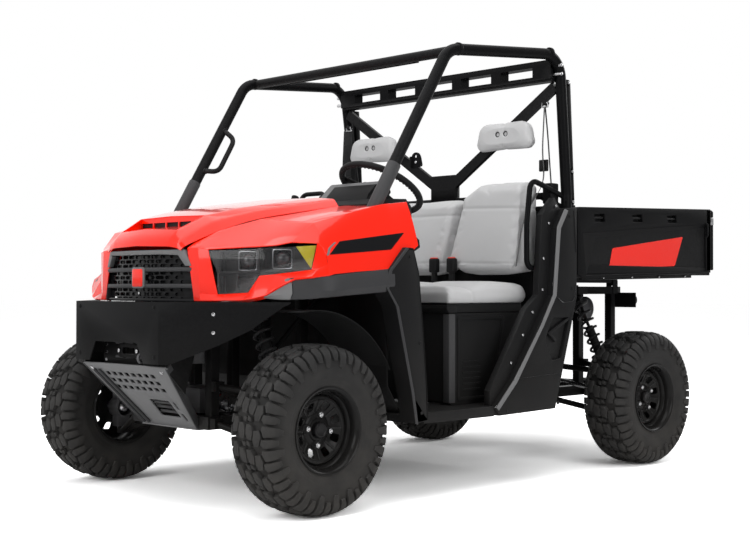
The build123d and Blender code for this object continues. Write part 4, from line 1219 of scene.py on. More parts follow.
@dataclass(frozen=True)
class Rounded:
    """A frame node whose edges are rounded into a finished piece."""

    node: str
    body: str
    finish: Finish
    width: float
    angle: float = 24.0
    segments: int = 2

    def build(self) -> None:
        """Rounds the node's edges and stands the piece in its place."""
        form = traced(self.node).bevel(self.width, self.segments, self.angle)
        form.piece(f"{self.node}_finished", self.body, (self.finish,), (self.node,), smooth=38)


ROUNDED = (
    Rounded("lower_frame", "chassis", POWDER, 4.0),
    Rounded("front_frame", "chassis", POWDER, 2.5),
    Rounded("rear_frame", "chassis", POWDER, 2.5),
    Rounded("bumper", "chassis", POWDER, 1.2),
    Rounded("dash", "chassis", BLACK_TRIM, 6.0, 24.0, 3),
    Rounded("firewall", "chassis", BLACK_TRIM, 1.5),
    Rounded("floor_pan", "chassis", BLACK_TRIM, 1.5),
    Rounded("seat_brace", "chassis", POWDER, 2.5),
    Rounded("cage_headers", "chassis", POWDER, 3.0),
    Rounded("knuckle_left", "knuckle_left", CAST, 2.0),
    Rounded("knuckle_right", "knuckle_right", CAST, 2.0),
    Rounded("rear_uprights", "chassis", CAST, 2.0),
    Rounded("gearcases", "chassis", CAST, 5.0, 24.0, 3),
    Rounded("engine", "chassis", ENGINE_GREY, 8.0, 24.0, 3),
)


@dataclass(frozen=True)
class Group:
    """Sub-assemblies that are built one after another."""

    name: str
    members: tuple[object, ...]

    def build(self) -> None:
        """Builds each member."""
        for member in self.members:
            member.build()


# ---------------------------------------------------------------- bench seat
@dataclass(frozen=True)
class Channel:
    """A sewn line, where a plane crosses a pad and draws its cover in."""

    point: Point3
    normal: Point3
    depth: float = 5.0
    width: float = 7.0


def finished(pad: bpy.types.Object) -> None:
    """Puts the result of a pad's modifiers into its mesh.

    Args:
        pad: The pad, which keeps no modifier.
    """
    graph = bpy.context.evaluated_depsgraph_get()
    made = bpy.data.meshes.new_from_object(pad.evaluated_get(graph))
    plain = pad.data
    pad.modifiers.clear()
    pad.data = made
    bpy.data.meshes.remove(plain)


def inflate(pad: bpy.types.Object, voxel: float, pressure: float, reach: float) -> None:
    """Stuffs a pad: its cover is blown out as cloth, then smoothed.

    Args:
        pad: The pad as a closed mesh, a little smaller than it ends.
        voxel: Size of the cloth's faces.
        pressure: Pressure inside it.
        reach: Furthest that a point of the cover may move.
    """
    scene = bpy.context.scene
    remesh = pad.modifiers.new("cover", "REMESH")
    remesh.mode = "VOXEL"
    remesh.voxel_size = voxel * MM
    finished(pad)
    rest = [vert.co.copy() for vert in pad.data.vertices]
    cloth = pad.modifiers.new("stuffing", "CLOTH")
    cloth.settings.use_pressure = True
    cloth.settings.uniform_pressure_force = pressure
    cloth.settings.effector_weights.gravity = 0.0
    cloth.settings.quality = 5
    cloth.point_cache.frame_start = 1
    cloth.point_cache.frame_end = 20
    for step in range(1, 21):
        scene.frame_set(step)
    finished(pad)
    for vert, start in zip(pad.data.vertices, rest):
        shift = vert.co - start
        if shift.length > reach * MM:
            vert.co = start + shift.normalized() * reach * MM
    scene.frame_set(1)
    smoother = pad.modifiers.new("smoother", "SUBSURF")
    smoother.levels = smoother.render_levels = 1
    finished(pad)
    pad.data.shade_smooth()


def sew(pad: bpy.types.Object, channels: Sequence[Channel], low: Point3, high: Point3) -> None:
    """Draws a pad's cover in along its sewn lines, and flattens it where it rests.

    Args:
        pad: The stuffed pad.
        channels: The sewn lines.
        low: Lowest corner of the room that the pad has.
        high: Highest corner of that room.
    """
    normals = [vert.normal.copy() for vert in pad.data.vertices]
    for vert, normal in zip(pad.data.vertices, normals):
        point = vert.co / MM
        pull = 0.0
        for channel in channels:
            away = abs((point - Vector(channel.point)).dot(Vector(channel.normal).normalized()))
            pull = max(pull, channel.depth * math.exp(-(away / channel.width) ** 2))
        point -= normal * pull
        vert.co = Vector([min(max(value, floor), roof) for value, floor, roof in zip(point, low, high)]) * MM
    pad.data.update()


def inset(outline: Sequence[Point2], amount: float) -> list[Point2]:
    """Outline drawn in towards its middle.

    Args:
        outline: Corners in order.
        amount: How far each side moves in.

    Returns:
        The smaller outline.
    """
    us, vs = [u for u, _ in outline], [v for _, v in outline]
    middle = ((min(us) + max(us)) / 2, (min(vs) + max(vs)) / 2)
    scale = (1 - 2 * amount / (max(us) - min(us)), 1 - 2 * amount / (max(vs) - min(vs)))
    return [(middle[0] + (u - middle[0]) * scale[0], middle[1] + (v - middle[1]) * scale[1])
            for u, v in outline]


@dataclass(frozen=True)
class BackRest:
    """One back rest: its outline from the front, a raised rim and a panel sunk in it."""

    name: str
    outline: tuple[Point2, ...]
    rim: tuple[Point2, ...]
    panel: tuple[Point2, ...]
    channels: tuple[Channel, ...] = ()
    mirrored: bool = False

    @staticmethod
    def front(height: float) -> float:
        """How far forward the rest's face is at a height."""
        return -60.0 - (height - 931.0) * 0.1156

    def ring(self, outline: Sequence[Point2], recess: float) -> list[Point3]:
        """The outline on the rest's leaning face, set back by a recess."""
        return [(self.front(z) - recess, y, z) for y, z in outline]

    def build(self) -> None:
        """Builds, stuffs and sews the rest."""
        rings = [[(-228, y, z) for y, z in inset(self.outline, 14)],
                 [(-216, y, z) for y, z in inset(self.outline, 4)], self.ring(inset(self.outline, 3), 62),
                 self.ring(inset(self.outline, 14), 18), self.ring(self.rim, 6), self.ring(self.panel, 13)]
        form = Form.loft(rings, closed=True)
        if self.mirrored:
            form.mirror()
        pad = form.piece(self.name, "chassis", (VINYL,), ("seat_backs",), smooth=180)
        inflate(pad, 8.0, 2.6, 7.0)
        side = -1 if self.mirrored else 1
        lines = [Channel((p.point[0], side * p.point[1], p.point[2]),
                         (p.normal[0], side * p.normal[1], p.normal[2]), p.depth,
                         p.width) for p in self.channels]
        sew(pad, lines, (-236.0, -650.0, 906.0), (-44.0, 650.0, 1362.0))


OUTER_BACK = BackRest(
    "driver_back_rest",
    ((196, 972), (285, 926), (612, 926), (648, 958), (648, 1332), (628, 1356), (372, 1358), (270, 1300)),
    ((232, 986), (288, 950), (606, 950), (634, 972), (634, 1300), (618, 1322), (372, 1326), (290, 1284)),
    ((262, 1000), (292, 982), (604, 981), (622, 996), (622, 1206), (610, 1224), (322, 1228), (292, 1198)),
    (Channel((-75, 400, 976), (0, 0.02, 1), 3.0), Channel((-92, 400, 1232), (0, 0.03, 1), 3.0)))
MIDDLE_BACK = BackRest(
    "middle_back_rest",
    ((-176, 945), (-150, 926), (150, 926), (176, 945), (248, 1268), (226, 1289), (-226, 1289), (-248, 1268)),
    ((-150, 962), (-132, 950), (132, 950), (150, 962), (216, 1246), (200, 1262), (-200, 1262), (-216, 1246)),
    ((-126, 996), (-112, 984), (112, 984), (126, 996), (176, 1188), (162, 1202), (-162, 1202), (-176, 1188)),
    (Channel((-75, 0, 980), (0, 0, 1), 3.0), Channel((-90, 0, 1206), (0, 0, 1), 3.0)))


@dataclass(frozen=True)
class HeadRest:
    """Head restraint: a crowned pad with two eyelets in its middle."""

    side: int
    y: float = 440.0
    z: float = 1576.0
    outline: tuple[Point2, ...] = ((-150, 70), (-174, -44), (-148, -72), (148, -72), (174, -44), (150, 70))
    eyelets: tuple[Point2, ...] = ((-24, 8), (24, 8))
    eyelet_radius: float = 13.0

    def build(self) -> None:
        """Builds the pad and its eyelets."""
        name = "left" if self.side > 0 else "right"
        around = soften(self.outline, 58, 6)
        rings = [[(x, self.side * self.y + u, self.z + v) for u, v in inset(around, amount)]
                 for x, amount in ((-262, 22), (-256, 8), (-226, 4), (-213, 12), (-206, 32), (-204, 52))]
        pad = Form.loft(rings, closed=True).piece(f"head_rest_{name}", "chassis", (VINYL,), ("headrests",),
                                                  smooth=180)
        inflate(pad, 5.0, 2.6, 6.0)
        for vert in pad.data.vertices:
            point = vert.co / MM
            if point.x > -235:
                away = min(math.hypot(point.y - self.side * self.y - u, point.z - self.z - v)
                           for u, v in self.eyelets)
                point.x -= 9.0 * math.exp(-(away / (self.eyelet_radius * 1.15)) ** 4)
                vert.co = point * MM
        sew(pad, [Channel((-240, 0, 0), (1, 0, 0), 2.6, 5.0)], (-265.0, -640.0, 1500.0),
            (-200.0, 640.0, 1652.0))
        eyelets = []
        for u, v in self.eyelets:
            place = (-208.5, self.side * self.y + u, self.z + v)
            profile = ((-6, 0), (-6, 8), (5, 9), (6.5, 11), (5, 13), (-8, 13.5), (-12, 11), (-12, 0))
            eyelets.append(Form.lathe(profile, place, Vector((1, 0, 0)), 28))
        saddle = Form.rod((-220, self.side * self.y - 16, self.z + 11),
                          (-220, self.side * self.y + 16, self.z + 11), 4.5)
        Form.join([*eyelets, saddle]).piece(f"head_rest_eyelets_{name}", "chassis", (BLACK_TRIM,))


@dataclass(frozen=True)
class SeatCushion:
    """Bench cushion in three zones over a black pan."""

    half: float = 632.0
    # y, drop of the top from its full height
    across: tuple[Point2, ...] = ((0, 0), (120, 2), (205, 8), (236, 14), (262, 8), (340, 0), (540, 0),
                                  (600, 4), (622, 10))
    # side outline with the heights at the cushion's full crown
    outline: tuple[Point2, ...] = ((-150, 796), (-160, 816), (-162, 850), (-146, 880), (0, 886), (100, 886),
                                   (226, 861), (338, 864), (368, 872), (384, 836), (370, 800), (250, 796))

    def ring(self, y: float, drop: float) -> list[Point3]:
        """Side outline at y, its top lowered."""
        return [(x, y, z - drop if z > 840 else z) for x, z in self.outline]

    def build(self) -> None:
        """Builds the cushion and its pan."""
        half = [(y, drop) for y, drop in self.across]
        places = [(-y, drop) for y, drop in reversed(half[1:])] + half
        rings = [self.ring(y, drop) for y, drop in places]
        for sign, first in ((-1, True), (1, False)):
            squeezed = [(x * 0.985 + 1.5, sign * self.half, 834 + (z - 834) * 0.45)
                        for x, _, z in self.ring(0, 8)]
            rings.insert(0, squeezed) if first else rings.append(squeezed)
        pad = Form.loft(rings, closed=True).piece("seat_cushion_pad", "chassis", (VINYL,), ("seat_cushion",),
                                                  smooth=180)
        inflate(pad, 9.0, 2.2, 6.0)
        channels = [Channel((0, y, 0), (0, 1, 0), 5.0, 7.0) for y in (-236, 236)]
        channels.append(Channel((226, 0, 860), (1, 0, -0.4), 2.5, 9.0))
        sew(pad, channels, (-170.0, -644.0, 795.0), (394.0, 644.0, 892.0))
        pan = Form.prism(side_plane(0), ((-148, 752.3), (330, 752.3), (352, 770), (356, 797), (-150, 797)),
                         -604, 604)
        rail = Form.prism(side_plane(0), ((300, 752.3), (352, 752.3), (366, 768), (366, 786), (300, 786)),
                          -612, 612)
        shield = Form.block((-236, -228), (-604, 604), (800, 940)).bevel(2, 2, 25)
        Form.join([pan.bevel(6, 2, 25), rail.bevel(5, 2, 25), shield]).piece("seat_pan", "chassis",
                                                                             (BLACK_TRIM,))


@dataclass(frozen=True)
class SeatBase:
    """Moulded seat box with an access panel, a grey riser strip and vent slots."""

    def build(self) -> None:
        """Builds the box and what is on it."""
        box = traced("seat_base").bevel(6.0, 3, 25)
        box.piece("seat_box", "chassis", (BLACK_TRIM,), ("seat_base",))
        parts = Kit()
        for side in (1, -1):
            # raised corner strip, then the recessed side door with its frame
            strip = Form.prism(side_plane(side * 610), ((316, 366), (352, 366), (352, 748), (316, 748)),
                               -4 * side, 5 * side)
            parts.append(strip.bevel(2.5, 2, 25).paint(1))
            frame_outline = soften(((300, 372), (300, 738), (-20, 738), (60, 372)), 16)
            opening = soften(((286, 388), (286, 722), (4, 722), (74, 388)), 12)
            parts.prism(side_plane(side * 610), frame_outline, -2 * side, 4 * side, [opening]).bevel(1.4)
            for i in range(6):
                z = 420 + i * 24
                slot = Form.prism(side_plane(side * 610), rounded(120, 8, 3.6, (206, z)), -1 * side,
                                  3.2 * side)
                parts.append(slot.bevel(1.0, 1))
        for y in (-300, 0, 300):
            panel = Form.prism(front_plane(350), rounded(270, 330, 22, (y, 560)), -2, 4)
            parts.append(panel.bevel(2.0))
            parts.prism(front_plane(350), rounded(90, 26, 10, (y, 700)), 2, 9).bevel(3)
        for y in (-596, 596):
            strip = Form.prism(front_plane(350), ((y - 18, 366), (y + 18, 366), (y + 18, 748), (y - 18, 748)),
                               -3, 5)
            parts.append(strip.bevel(2.5, 2, 25).paint(1))
        Form.join(parts).piece("seat_box_panels", "chassis", (BLACK_TRIM, GREY_TRIM))


# ---------------------------------------------------------------- nose: hood, fenders, flares
def blended(lines: Sequence[Sequence[Point3]], steps: int = 4) -> list[list[Vector]]:
    """Lines through which a smooth sheet runs, with more laid between them.

    Args:
        lines: Lines of the same number of points.
        steps: Pieces that each gap is divided into.

    Returns:
        The lines and those between them, on a curve through their points.
    """
    rows = [[Vector(point) for point in line] for line in lines]
    made = [rows[0]]
    for i in range(len(rows) - 1):
        before, here, there, after = (rows[max(i - 1, 0)], rows[i], rows[i + 1],
                                      rows[min(i + 2, len(rows) - 1)])
        for step in range(1, steps + 1):
            t = step / steps
            line = []
            for p0, p1, p2, p3 in zip(before, here, there, after):
                line.append(0.5 * (2 * p1 + (p2 - p0) * t + (2 * p0 - 5 * p1 + 4 * p2 - p3) * t * t
                                   + (3 * p1 - p0 - 3 * p2 + p3) * t ** 3))
            made.append(line)
    return made


def flipped(points: Iterable[Point3]) -> list[Vector]:
    """Points on the vehicle's other side, in the opposite order."""
    return [Vector((p[0], -p[1], p[2])) for p in reversed(list(points))]


BOW_HALF = 300.0
BOW_DEPTH = 48.0


def bowed(point: Vector) -> Vector:
    """Carries a point of the nose forward, most in the middle."""
    share = max(0.0, 1.0 - (point.y / BOW_HALF) ** 2)
    return Vector((point.x + BOW_DEPTH * share, point.y, point.z))


@dataclass(frozen=True)
class Hood:
    """Creased hood with a recessed vent above its front edge."""

    # x, then (y, z) from the flank to the middle
    sections: tuple[tuple[float, tuple[Point2, ...]], ...] = (
        (870, ((466, 1192), (440, 1222), (330, 1232), (0, 1238))),
        (1061, ((424, 1160), (397, 1190), (300, 1203), (0, 1208))),
        (1211, ((344, 1128), (320, 1160), (262, 1177), (0, 1184))),
        (1361, ((298, 1078), (272, 1118), (225, 1143), (0, 1148))),
        (1409, ((278, 1055), (254, 1090), (211, 1115), (0, 1122))),
        (1455, ((258, 1030), (238, 1058), (197, 1084), (0, 1092))),
        (1479, ((254, 1014), (234, 1038), (194, 1047), (0, 1053))),
        (1484, ((250, 1004), (230, 1014), (190, 1020), (0, 1025))))
    vent_rear: float = 1361.0
    vent_front: float = 1455.0
    slots: int = 5
    slot_half: float = 40.0
    slot_pitch: float = 88.0
    slot_foot: float = 1107.0
    slot_head: float = 1127.0
    crease: float = 9.0
    lip_reach: float = 118.0       # from the vent's rear to the lip
    hinge: Point2 = (876.0, 1200.0)
    hinge_y: float = 300.0
    lug_half: float = 15.0

    def half(self, row: tuple[float, tuple[Point2, ...]]) -> list[Vector]:
        """Half section of a row, its creases rounded."""
        x, points = row
        return bent([(x, y, z) for y, z in points], self.crease, 3)

    def bow(self, point: Vector) -> Vector:
        """Carries the lip forward with the grille, and nothing behind the vent."""
        ahead = min(max((point.x - self.vent_rear) / self.lip_reach, 0.0), 1.0)
        return point.lerp(bowed(point), ahead * ahead)

    def build(self) -> None:
        """Builds the skin, the vent's tray and its slots."""
        parts = []
        rear = [self.half(row) for row in self.sections if row[0] <= self.vent_rear]
        front = [self.half(row) for row in self.sections if row[0] >= self.vent_front]
        middle = [self.half(row) for row in self.sections if self.vent_rear <= row[0] <= self.vent_front]
        for rows, steps in ((rear, 6), (front, 2)):
            whole = [line + flipped(line[:-1]) for line in rows]
            parts.append(Form.loft(blended(whole, steps)))
        edge = len(middle[0]) - 2
        parts.append(Form.loft(blended([line[:edge + 1] for line in middle], 4)).both_sides())
        back, lip = middle[0], middle[-1]
        trays = []
        for line, floor in ((back, ((221, 1100), (0, 1105))), (lip, ((194, 1081), (0, 1089)))):
            half = [line[edge], *(Vector((line[edge].x, y, z)) for y, z in floor)]
            trays.append(half + flipped(half[:-1]))
        parts.append(Form.loft(trays))
        rim = [(p.y, p.z) for p in back[edge:]]
        outline = rim + [(-y, z) for y, z in reversed(rim[:-1])] + [(-221, 1100), (0, 1105), (221, 1100)]
        places = [self.slot_pitch * i for i in range(-(self.slots // 2), self.slots // 2 + 1)]
        low, high, half = self.slot_foot, self.slot_head, self.slot_half
        slots = [[(y - half, low), (y + half, low), (y + half, high), (y - half, high)] for y in places]
        wall = Form.prism(front_plane(self.vent_rear), outline, -6, 0, slots)
        skin = Form.join(parts)
        bmesh.ops.remove_doubles(skin.mesh, verts=skin.mesh.verts, dist=0.5)
        skin.wall(-4.0)
        shadow = Form.block((self.vent_rear - 40, self.vent_rear - 8), (-216, 216), (1099, 1136)).paint(1)
        lugs = []
        x, z = self.hinge
        for y in (self.hinge_y, -self.hinge_y):
            near, far = y - self.lug_half, y + self.lug_half
            lugs += [Form.rod((x, near, z), (x, far, z), 11), Form.block((x - 4, x + 8), (near, far),
                                                                         (z, z + 29))]
        whole = Form.join([skin, wall, shadow, *lugs]).reshape(self.bow)
        whole.piece("hood_skin", "hood", (ORANGE, BLACK_TRIM), ("hood",), smooth=28)


FlareRow = tuple[float, float, float, float]


@dataclass(frozen=True)
class Fenders:
    """Front fenders that wrap round the lamps, with grey flares over the wheels."""

    # x, then (y, z) from the seam with the hood over the crest to the lower edge
    side_sections: tuple[tuple[float, tuple[Point2, ...]], ...] = (
        (716, ((640, 1201), (660, 1202), (684, 1204), (703, 1205), (722, 1165), (740, 1120), (750, 1090),
               (760, 1060), (768, 1030))),
        (790, ((560, 1194), (600, 1193), (660, 1193), (702, 1196), (724, 1145), (741, 1095), (751, 1058),
               (760, 1015), (768, 980))),
        (866, ((473, 1191), (540, 1186), (630, 1184), (702, 1186), (724, 1128), (742, 1072), (751, 1032),
               (760, 985), (769, 938))),
        (1061, ((428, 1156), (500, 1150), (600, 1144), (690, 1139), (716, 1092), (738, 1040), (749, 1005),
                (760, 960), (769, 921))),
        (1190, ((360, 1130), (470, 1117), (590, 1108), (672, 1104), (702, 1068), (724, 1030), (739, 995),
                (752, 945), (763, 909))))
    # seam, lamp's top, lamp's foot, lip and edge, from the grille round to the side
    nose_rows: tuple[tuple[Point3, ...], ...] = (
        ((1440, 264, 1034), (1476, 264, 1012), (1474, 300, 838), (1474, 306, 812), (1450, 306, 806)),
        ((1361, 300, 1076), (1471, 326, 1010), (1470, 336, 836), (1474, 340, 812), (1448, 340, 806)),
        ((1300, 320, 1097), (1456, 368, 1005), (1434, 398, 832), (1462, 404, 812), (1436, 400, 806)),
        ((1190, 360, 1130), (1366, 499, 1013), (1366, 499, 838), (1404, 506, 814), (1380, 502, 808)),
        ((1190, 470, 1117), (1340, 537, 1015), (1340, 537, 904), (1385, 548, 822), (1360, 542, 814)),
        ((1190, 590, 1108), (1305, 588, 1019), (1305, 588, 909), (1358, 592, 834), (1335, 586, 826)),
        ((1190, 672, 1104), (1271, 638, 1030), (1271, 638, 916), (1330, 636, 866), (1306, 628, 858)),
        ((1190, 702, 1068), (1214, 720, 1027), (1227, 704, 926), (1292, 680, 894), (1270, 668, 888)),
        ((1190, 724, 1030), (1200, 731, 1014), (1214, 728, 932), (1250, 728, 900), (1232, 714, 893)),
        ((1190, 739, 995), (1190, 741.6, 985), (1190, 752, 945), (1190, 763, 909), (1190, 746, 900)))
    # along the flare from its tip to the pillar: x, y, top and foot
    flare_front: tuple[FlareRow, ...] = ((1360, 588, 838, 822), (1328, 634, 870, 816), (1298, 674, 893, 814))
    flare_rear: tuple[FlareRow, ...] = ((1296, 676, 893, 814), (1246, 736, 899, 817), (1190, 772, 906, 823),
                                        (1100, 784, 915, 830), (980, 786, 926, 838), (862, 786, 936, 846))

    def skin(self) -> Form:
        """Orange skin of one fender."""
        side = [[(x, y, z) for y, z in points] for x, points in self.side_sections]
        parts = [Form.loft([list(reversed(line)) for line in blended(side, 4)])]
        tops = [(row[0], row[1]) for row in self.nose_rows]
        parts.append(Form.loft([self.stretch(a, b, 5) for a, b in tops]))
        first = [self.stretch(row[1], row[2], 3) for row in self.nose_rows[:3]]
        last = [self.stretch(row[1], row[2], 3) for row in self.nose_rows[-3:]]
        parts += [Form.loft(first), Form.loft(last)]
        parts.append(Form.loft([[row[2], row[3], row[4]] for row in self.nose_rows]))
        whole = Form.join(parts)
        bmesh.ops.remove_doubles(whole.mesh, verts=whole.mesh.verts, dist=1.5)
        return whole.bevel(3.0, 2, 14).wall(-4.0)

    @staticmethod
    def stretch(start: Point3, end: Point3, count: int) -> list[Vector]:
        """Points evenly from one place to another."""
        a, b = Vector(start), Vector(end)
        return [a.lerp(b, i / count) for i in range(count + 1)]

    @staticmethod
    def flare(rows: Sequence[FlareRow]) -> Form:
        """One length of flare: a chamfered band with a lip turned in at its foot.

        Args:
            rows: Places along it, each with its x, y, top and foot.

        Returns:
            The band, with its wall.
        """
        lines = []
        for x, y, top, low in rows:
            tall = top - low
            lines.append([(x, y - 24, top + 4), (x, y - 10, top), (x, y - 2, top - 0.3 * tall),
                          (x, y, low + 0.32 * tall), (x, y - 12, low + 3), (x, y - 24, low),
                          (x, y - 60, low + 6)])
        return Form.loft(blended(lines, 3)).wall(4.0)

    def decal(self) -> Form:
        """Blank dark badge strip on the fender's side, with the light stroke ahead of it."""
        strip = ((1178, 985), (1115, 1038), (776, 1081), (859, 1011))
        stroke = ((1192, 981), (1176, 1010), (1140, 1034), (1131, 1034), (1166, 1009), (1181, 982))
        skin = BVHTree.FromBMesh(self.skin().mesh)
        parts = []
        for outline, paint in ((strip, 0), (stroke, 1)):
            form = Form.prism(side_plane(0), soften(outline, 5), -0.7, 0.7).gridded(12).paint(paint)
            parts.append(form.reshape(lambda p: p + Vector((0, self.laid(skin, p), 0))))
        return Form.join(parts)

    @staticmethod
    def laid(skin: BVHTree, point: Vector) -> float:
        """Where the skin's outside lies, straight behind a point of the side view."""
        hit = skin.ray_cast(Vector((point.x, 900, point.z)), Vector((0, -1, 0)))[0]
        return hit.y if hit else 740.0

    def build(self) -> None:
        """Builds both fenders with what is on them."""
        self.skin().both_sides().piece("fender_skins", "chassis", (ORANGE,), ("fenders",), smooth=22)
        front = self.flare(self.flare_front).paint(1)
        Form.join([self.flare(self.flare_rear), front]).both_sides().piece(
            "wheel_arch_flares", "chassis", (FLARE_GREY, PALE_TRIM), ("flares",), smooth=26)
        self.decal().both_sides().piece("fender_badges", "chassis", (GLOSS_BLACK, PALE_TRIM))


# ---------------------------------------------------------------- lamps and grille
LAMP_AT = Workplane(Vector((1340, 537, 930)), Vector((-0.564, 0.826, 0)), Vector((0, 0, 1)),
                    Vector((0.826, 0.564, 0)))


@dataclass(frozen=True)
class HeadLamps:
    """Headlamps: two projectors over a running lamp, in a grey frame under a clear lens."""

    outline: tuple[Point2, ...] = ((-212, 72), (-172, -8), (-166, -94), (-48, -90), (-2, -26), (200, -4),
                                   (220, 92))
    # openings: (low u, high u, low v, high v)
    dark_boxes: tuple[tuple[float, float, float, float], ...] = ((-156, -92, -8, 68), (-2, 40, -2, 74))
    projectors: tuple[tuple[float, float, float, float], ...] = ((-90, -16, -6, 70), (44, 122, 0, 77))
    low_box: tuple[float, float, float, float] = (-152, -98, -86, -26)
    # struts of the grey frame between the openings
    bars: tuple[tuple[Point2, ...], ...] = (
        ((-166, -16), (204, -2), (204, 6), (-166, -8)), ((-16, -14), (-7, -14), (-7, 78), (-16, 78)),
        ((-96, -90), (-91, -90), (-91, -16), (-96, -16)), ((-40, -88), (-30, -88), (-16, -20), (-28, -20)),
        ((-176, -8), (-160, -8), (-160, 74), (-170, 74)), ((-172, -96), (-164, -96), (-164, -8), (-172, -8)),
        ((-172, -98), (-44, -94), (-44, -86), (-172, -90)))

    @staticmethod
    def box(low_u: float, high_u: float, low_v: float, high_v: float, corner: float = 8.0) -> list[Point2]:
        """Round-cornered outline from its limits."""
        return rounded(high_u - low_u, high_v - low_v, corner, ((low_u + high_u) / 2, (low_v + high_v) / 2),
                       3)

    def build(self) -> None:
        """Builds both lamps."""
        parts = Kit([Form.prism(LAMP_AT, self.outline, -68, -52).paint(0)])
        holes = [self.box(*row) for row in (*self.dark_boxes, *self.projectors, self.low_box)]
        holes += [[(-94, -84), (-54, -84), (-34, -34), (-94, -30)]]
        face = Form.prism(LAMP_AT, inset(self.outline, 5), -52, -16, holes).bevel(1.6, 2, 50)
        parts.append(face.paint(0))
        for row in self.projectors:
            u, v = (row[0] + row[1]) / 2, (row[2] + row[3]) / 2
            shroud = Form.prism(LAMP_AT, self.box(*row), -50, -12,
                                [self.box(row[0] + 4, row[1] - 4, row[2] + 4, row[3] - 4)])
            parts.append(shroud.bevel(1.2, 2, 50).paint(1))
            bowl = Form.lathe(((-50, 0), (-48, 20), (-30, 33), (-28, 35), (-30, 36), (-50, 36)),
                              LAMP_AT.at(u, v), LAMP_AT.out, 40)
            parts.append(bowl.paint(2))
        parts += [Form.prism(LAMP_AT, bar, -40, -4).bevel(1.6).paint(3) for bar in self.bars]
        parts.prism(LAMP_AT, ((-212, 73), (-170, 74), (-160, -8), (-172, -8)), -20, -3).bevel(1.5).paint(3)
        for i in range(4):
            z = -76 + i * 12
            slat = ((-92, z), (-46 + i * 5, z), (-44 + i * 5, z + 6), (-92, z + 6))
            parts.prism(LAMP_AT, slat, -48, -20).bevel(0.8, 1).paint(3)
        parts.prism(LAMP_AT, ((124, -2), (196, 2), (214, 84), (124, 80)), -30, -12).bevel(1.5).paint(0)
        parts.prism(LAMP_AT, ((138, 86), (216, 90), (197, 2)), -12, -4).bevel(1.2).paint(4)
        lamp = Form.join(parts).both_sides()
        lamp.piece("head_lamps", "chassis", (LAMP_BLACK, REFLECTOR, GLOSS_BLACK, GREY_TRIM, AMBER_PAINTED_GLOW),
                   ("lamp_housings",))
        bulbs = []
        for row in self.projectors:
            u, v = (row[0] + row[1]) / 2, (row[2] + row[3]) / 2
            dome = ((-34, 0), (-34, 31), (-26, 31), (-14, 27), (-6, 20), (-1, 11), (1, 0))
            bulbs.append(Form.lathe(dome, LAMP_AT.at(u, v), LAMP_AT.out, 40))
        Form.join(bulbs).both_sides().piece("lamp_projectors", "chassis", (PROJECTOR,))
        cover = Form.prism(LAMP_AT, inset(self.outline, 2), 0.2, 2.6).bevel(1.0)
        cover.both_sides().piece("lamp_covers", "chassis", (LAMP_LENS,), ("lamp_lenses",))


@dataclass(frozen=True)
class Grille:
    """Three rows of mesh between two bars, under a satin strip, with a blank badge plate."""

    x: float = 1478.0
    outline: tuple[Point2, ...] = ((-248, 1010), (248, 1010), (300, 938), (312, 806), (-312, 806),
                                   (-300, 938))
    # middle height of each row of mesh, and cells across its half width
    rows: tuple[tuple[float, int], ...] = ((834.0, 5), (900.0, 5), (964.0, 5))
    cell: Point2 = (50.0, 14.0)
    # satin strip over the mesh
    strip: tuple[Point2, ...] = ((-238, 992), (-150, 990), (150, 990), (228, 986), (262, 944), (290, 944),
                                 (252, 1008), (-252, 1008), (-290, 944), (-262, 944), (-228, 986))
    guard: tuple[Point2, ...] = ((292, 926), (306, 926), (310, 812), (298, 812))
    badge_at: Point2 = (0.0, 899.0)

    def mesh(self) -> Form:
        """Plate of long staggered cells."""
        holes = []
        width, height = self.cell
        for middle, half_count in self.rows:
            for layer in (-1, 0, 1):
                shift = width * 0.5 * (layer % 2)
                for i in range(-half_count, half_count + (0 if shift else 1)):
                    y, z = i * (width + 4) + (shift + 2 if shift else 0), middle + layer * (height + 4)
                    left, right, foot, head = y - width / 2, y + width / 2, z - height / 2, z + height / 2
                    if abs(y) + width / 2 < 292 - max(0.0, z - 938) * 0.6:
                        holes.append([(left, z), (left + 6, foot), (right - 6, foot), (right, z),
                                      (right - 6, head), (left + 6, head)])
        return Form.prism(front_plane(self.x), inset(self.outline, 4), -30, -22, holes)

    def build(self) -> None:
        """Builds the grille."""
        parts = Kit([self.mesh()])
        parts.prism(front_plane(self.x), self.outline, -32, -8, [inset(self.outline, 12)]).bevel(2.0)
        # black sheet behind the mesh: painted shade standing in for the dark inside of the nose
        parts.prism(front_plane(self.x), inset(self.outline, 3), -64, -58)
        for z in (931, 866):
            bar = ((-296, z - 9), (296, z - 9), (300, z + 9), (-300, z + 9))
            parts.prism(front_plane(self.x), bar, -24, -3).bevel(5.0, 3).paint(1)
        parts.prism(front_plane(self.x), self.strip, -22, 0).bevel(2.5).paint(2)
        for side in (1, -1):
            guard = [(side * y, z) for y, z in self.guard]
            parts.prism(front_plane(self.x), guard, -24, -2).bevel(2.5).paint(1)
        parts.prism(front_plane(self.x), rounded(84, 84, 12, self.badge_at), -6, 3).bevel(2.5).paint(2)
        parts.prism(front_plane(self.x), rounded(70, 70, 8, self.badge_at), 3, 5).bevel(1.0).paint(3)
        parts.rod((self.x - 10, 0, 838), (self.x - 4, 0, 838), 5).paint(4)
        parts.block((1400, 1578), (-300, 300), (799, 804))
        face = Form.join(parts).sliced(range(-280, 281, 40))
        face.reshape(bowed).piece("grille_face", "chassis", (GLOSS_BLACK, GREY_TRIM, PALE_TRIM, ORANGE,
                                                             BRIGHT), ("grille",))


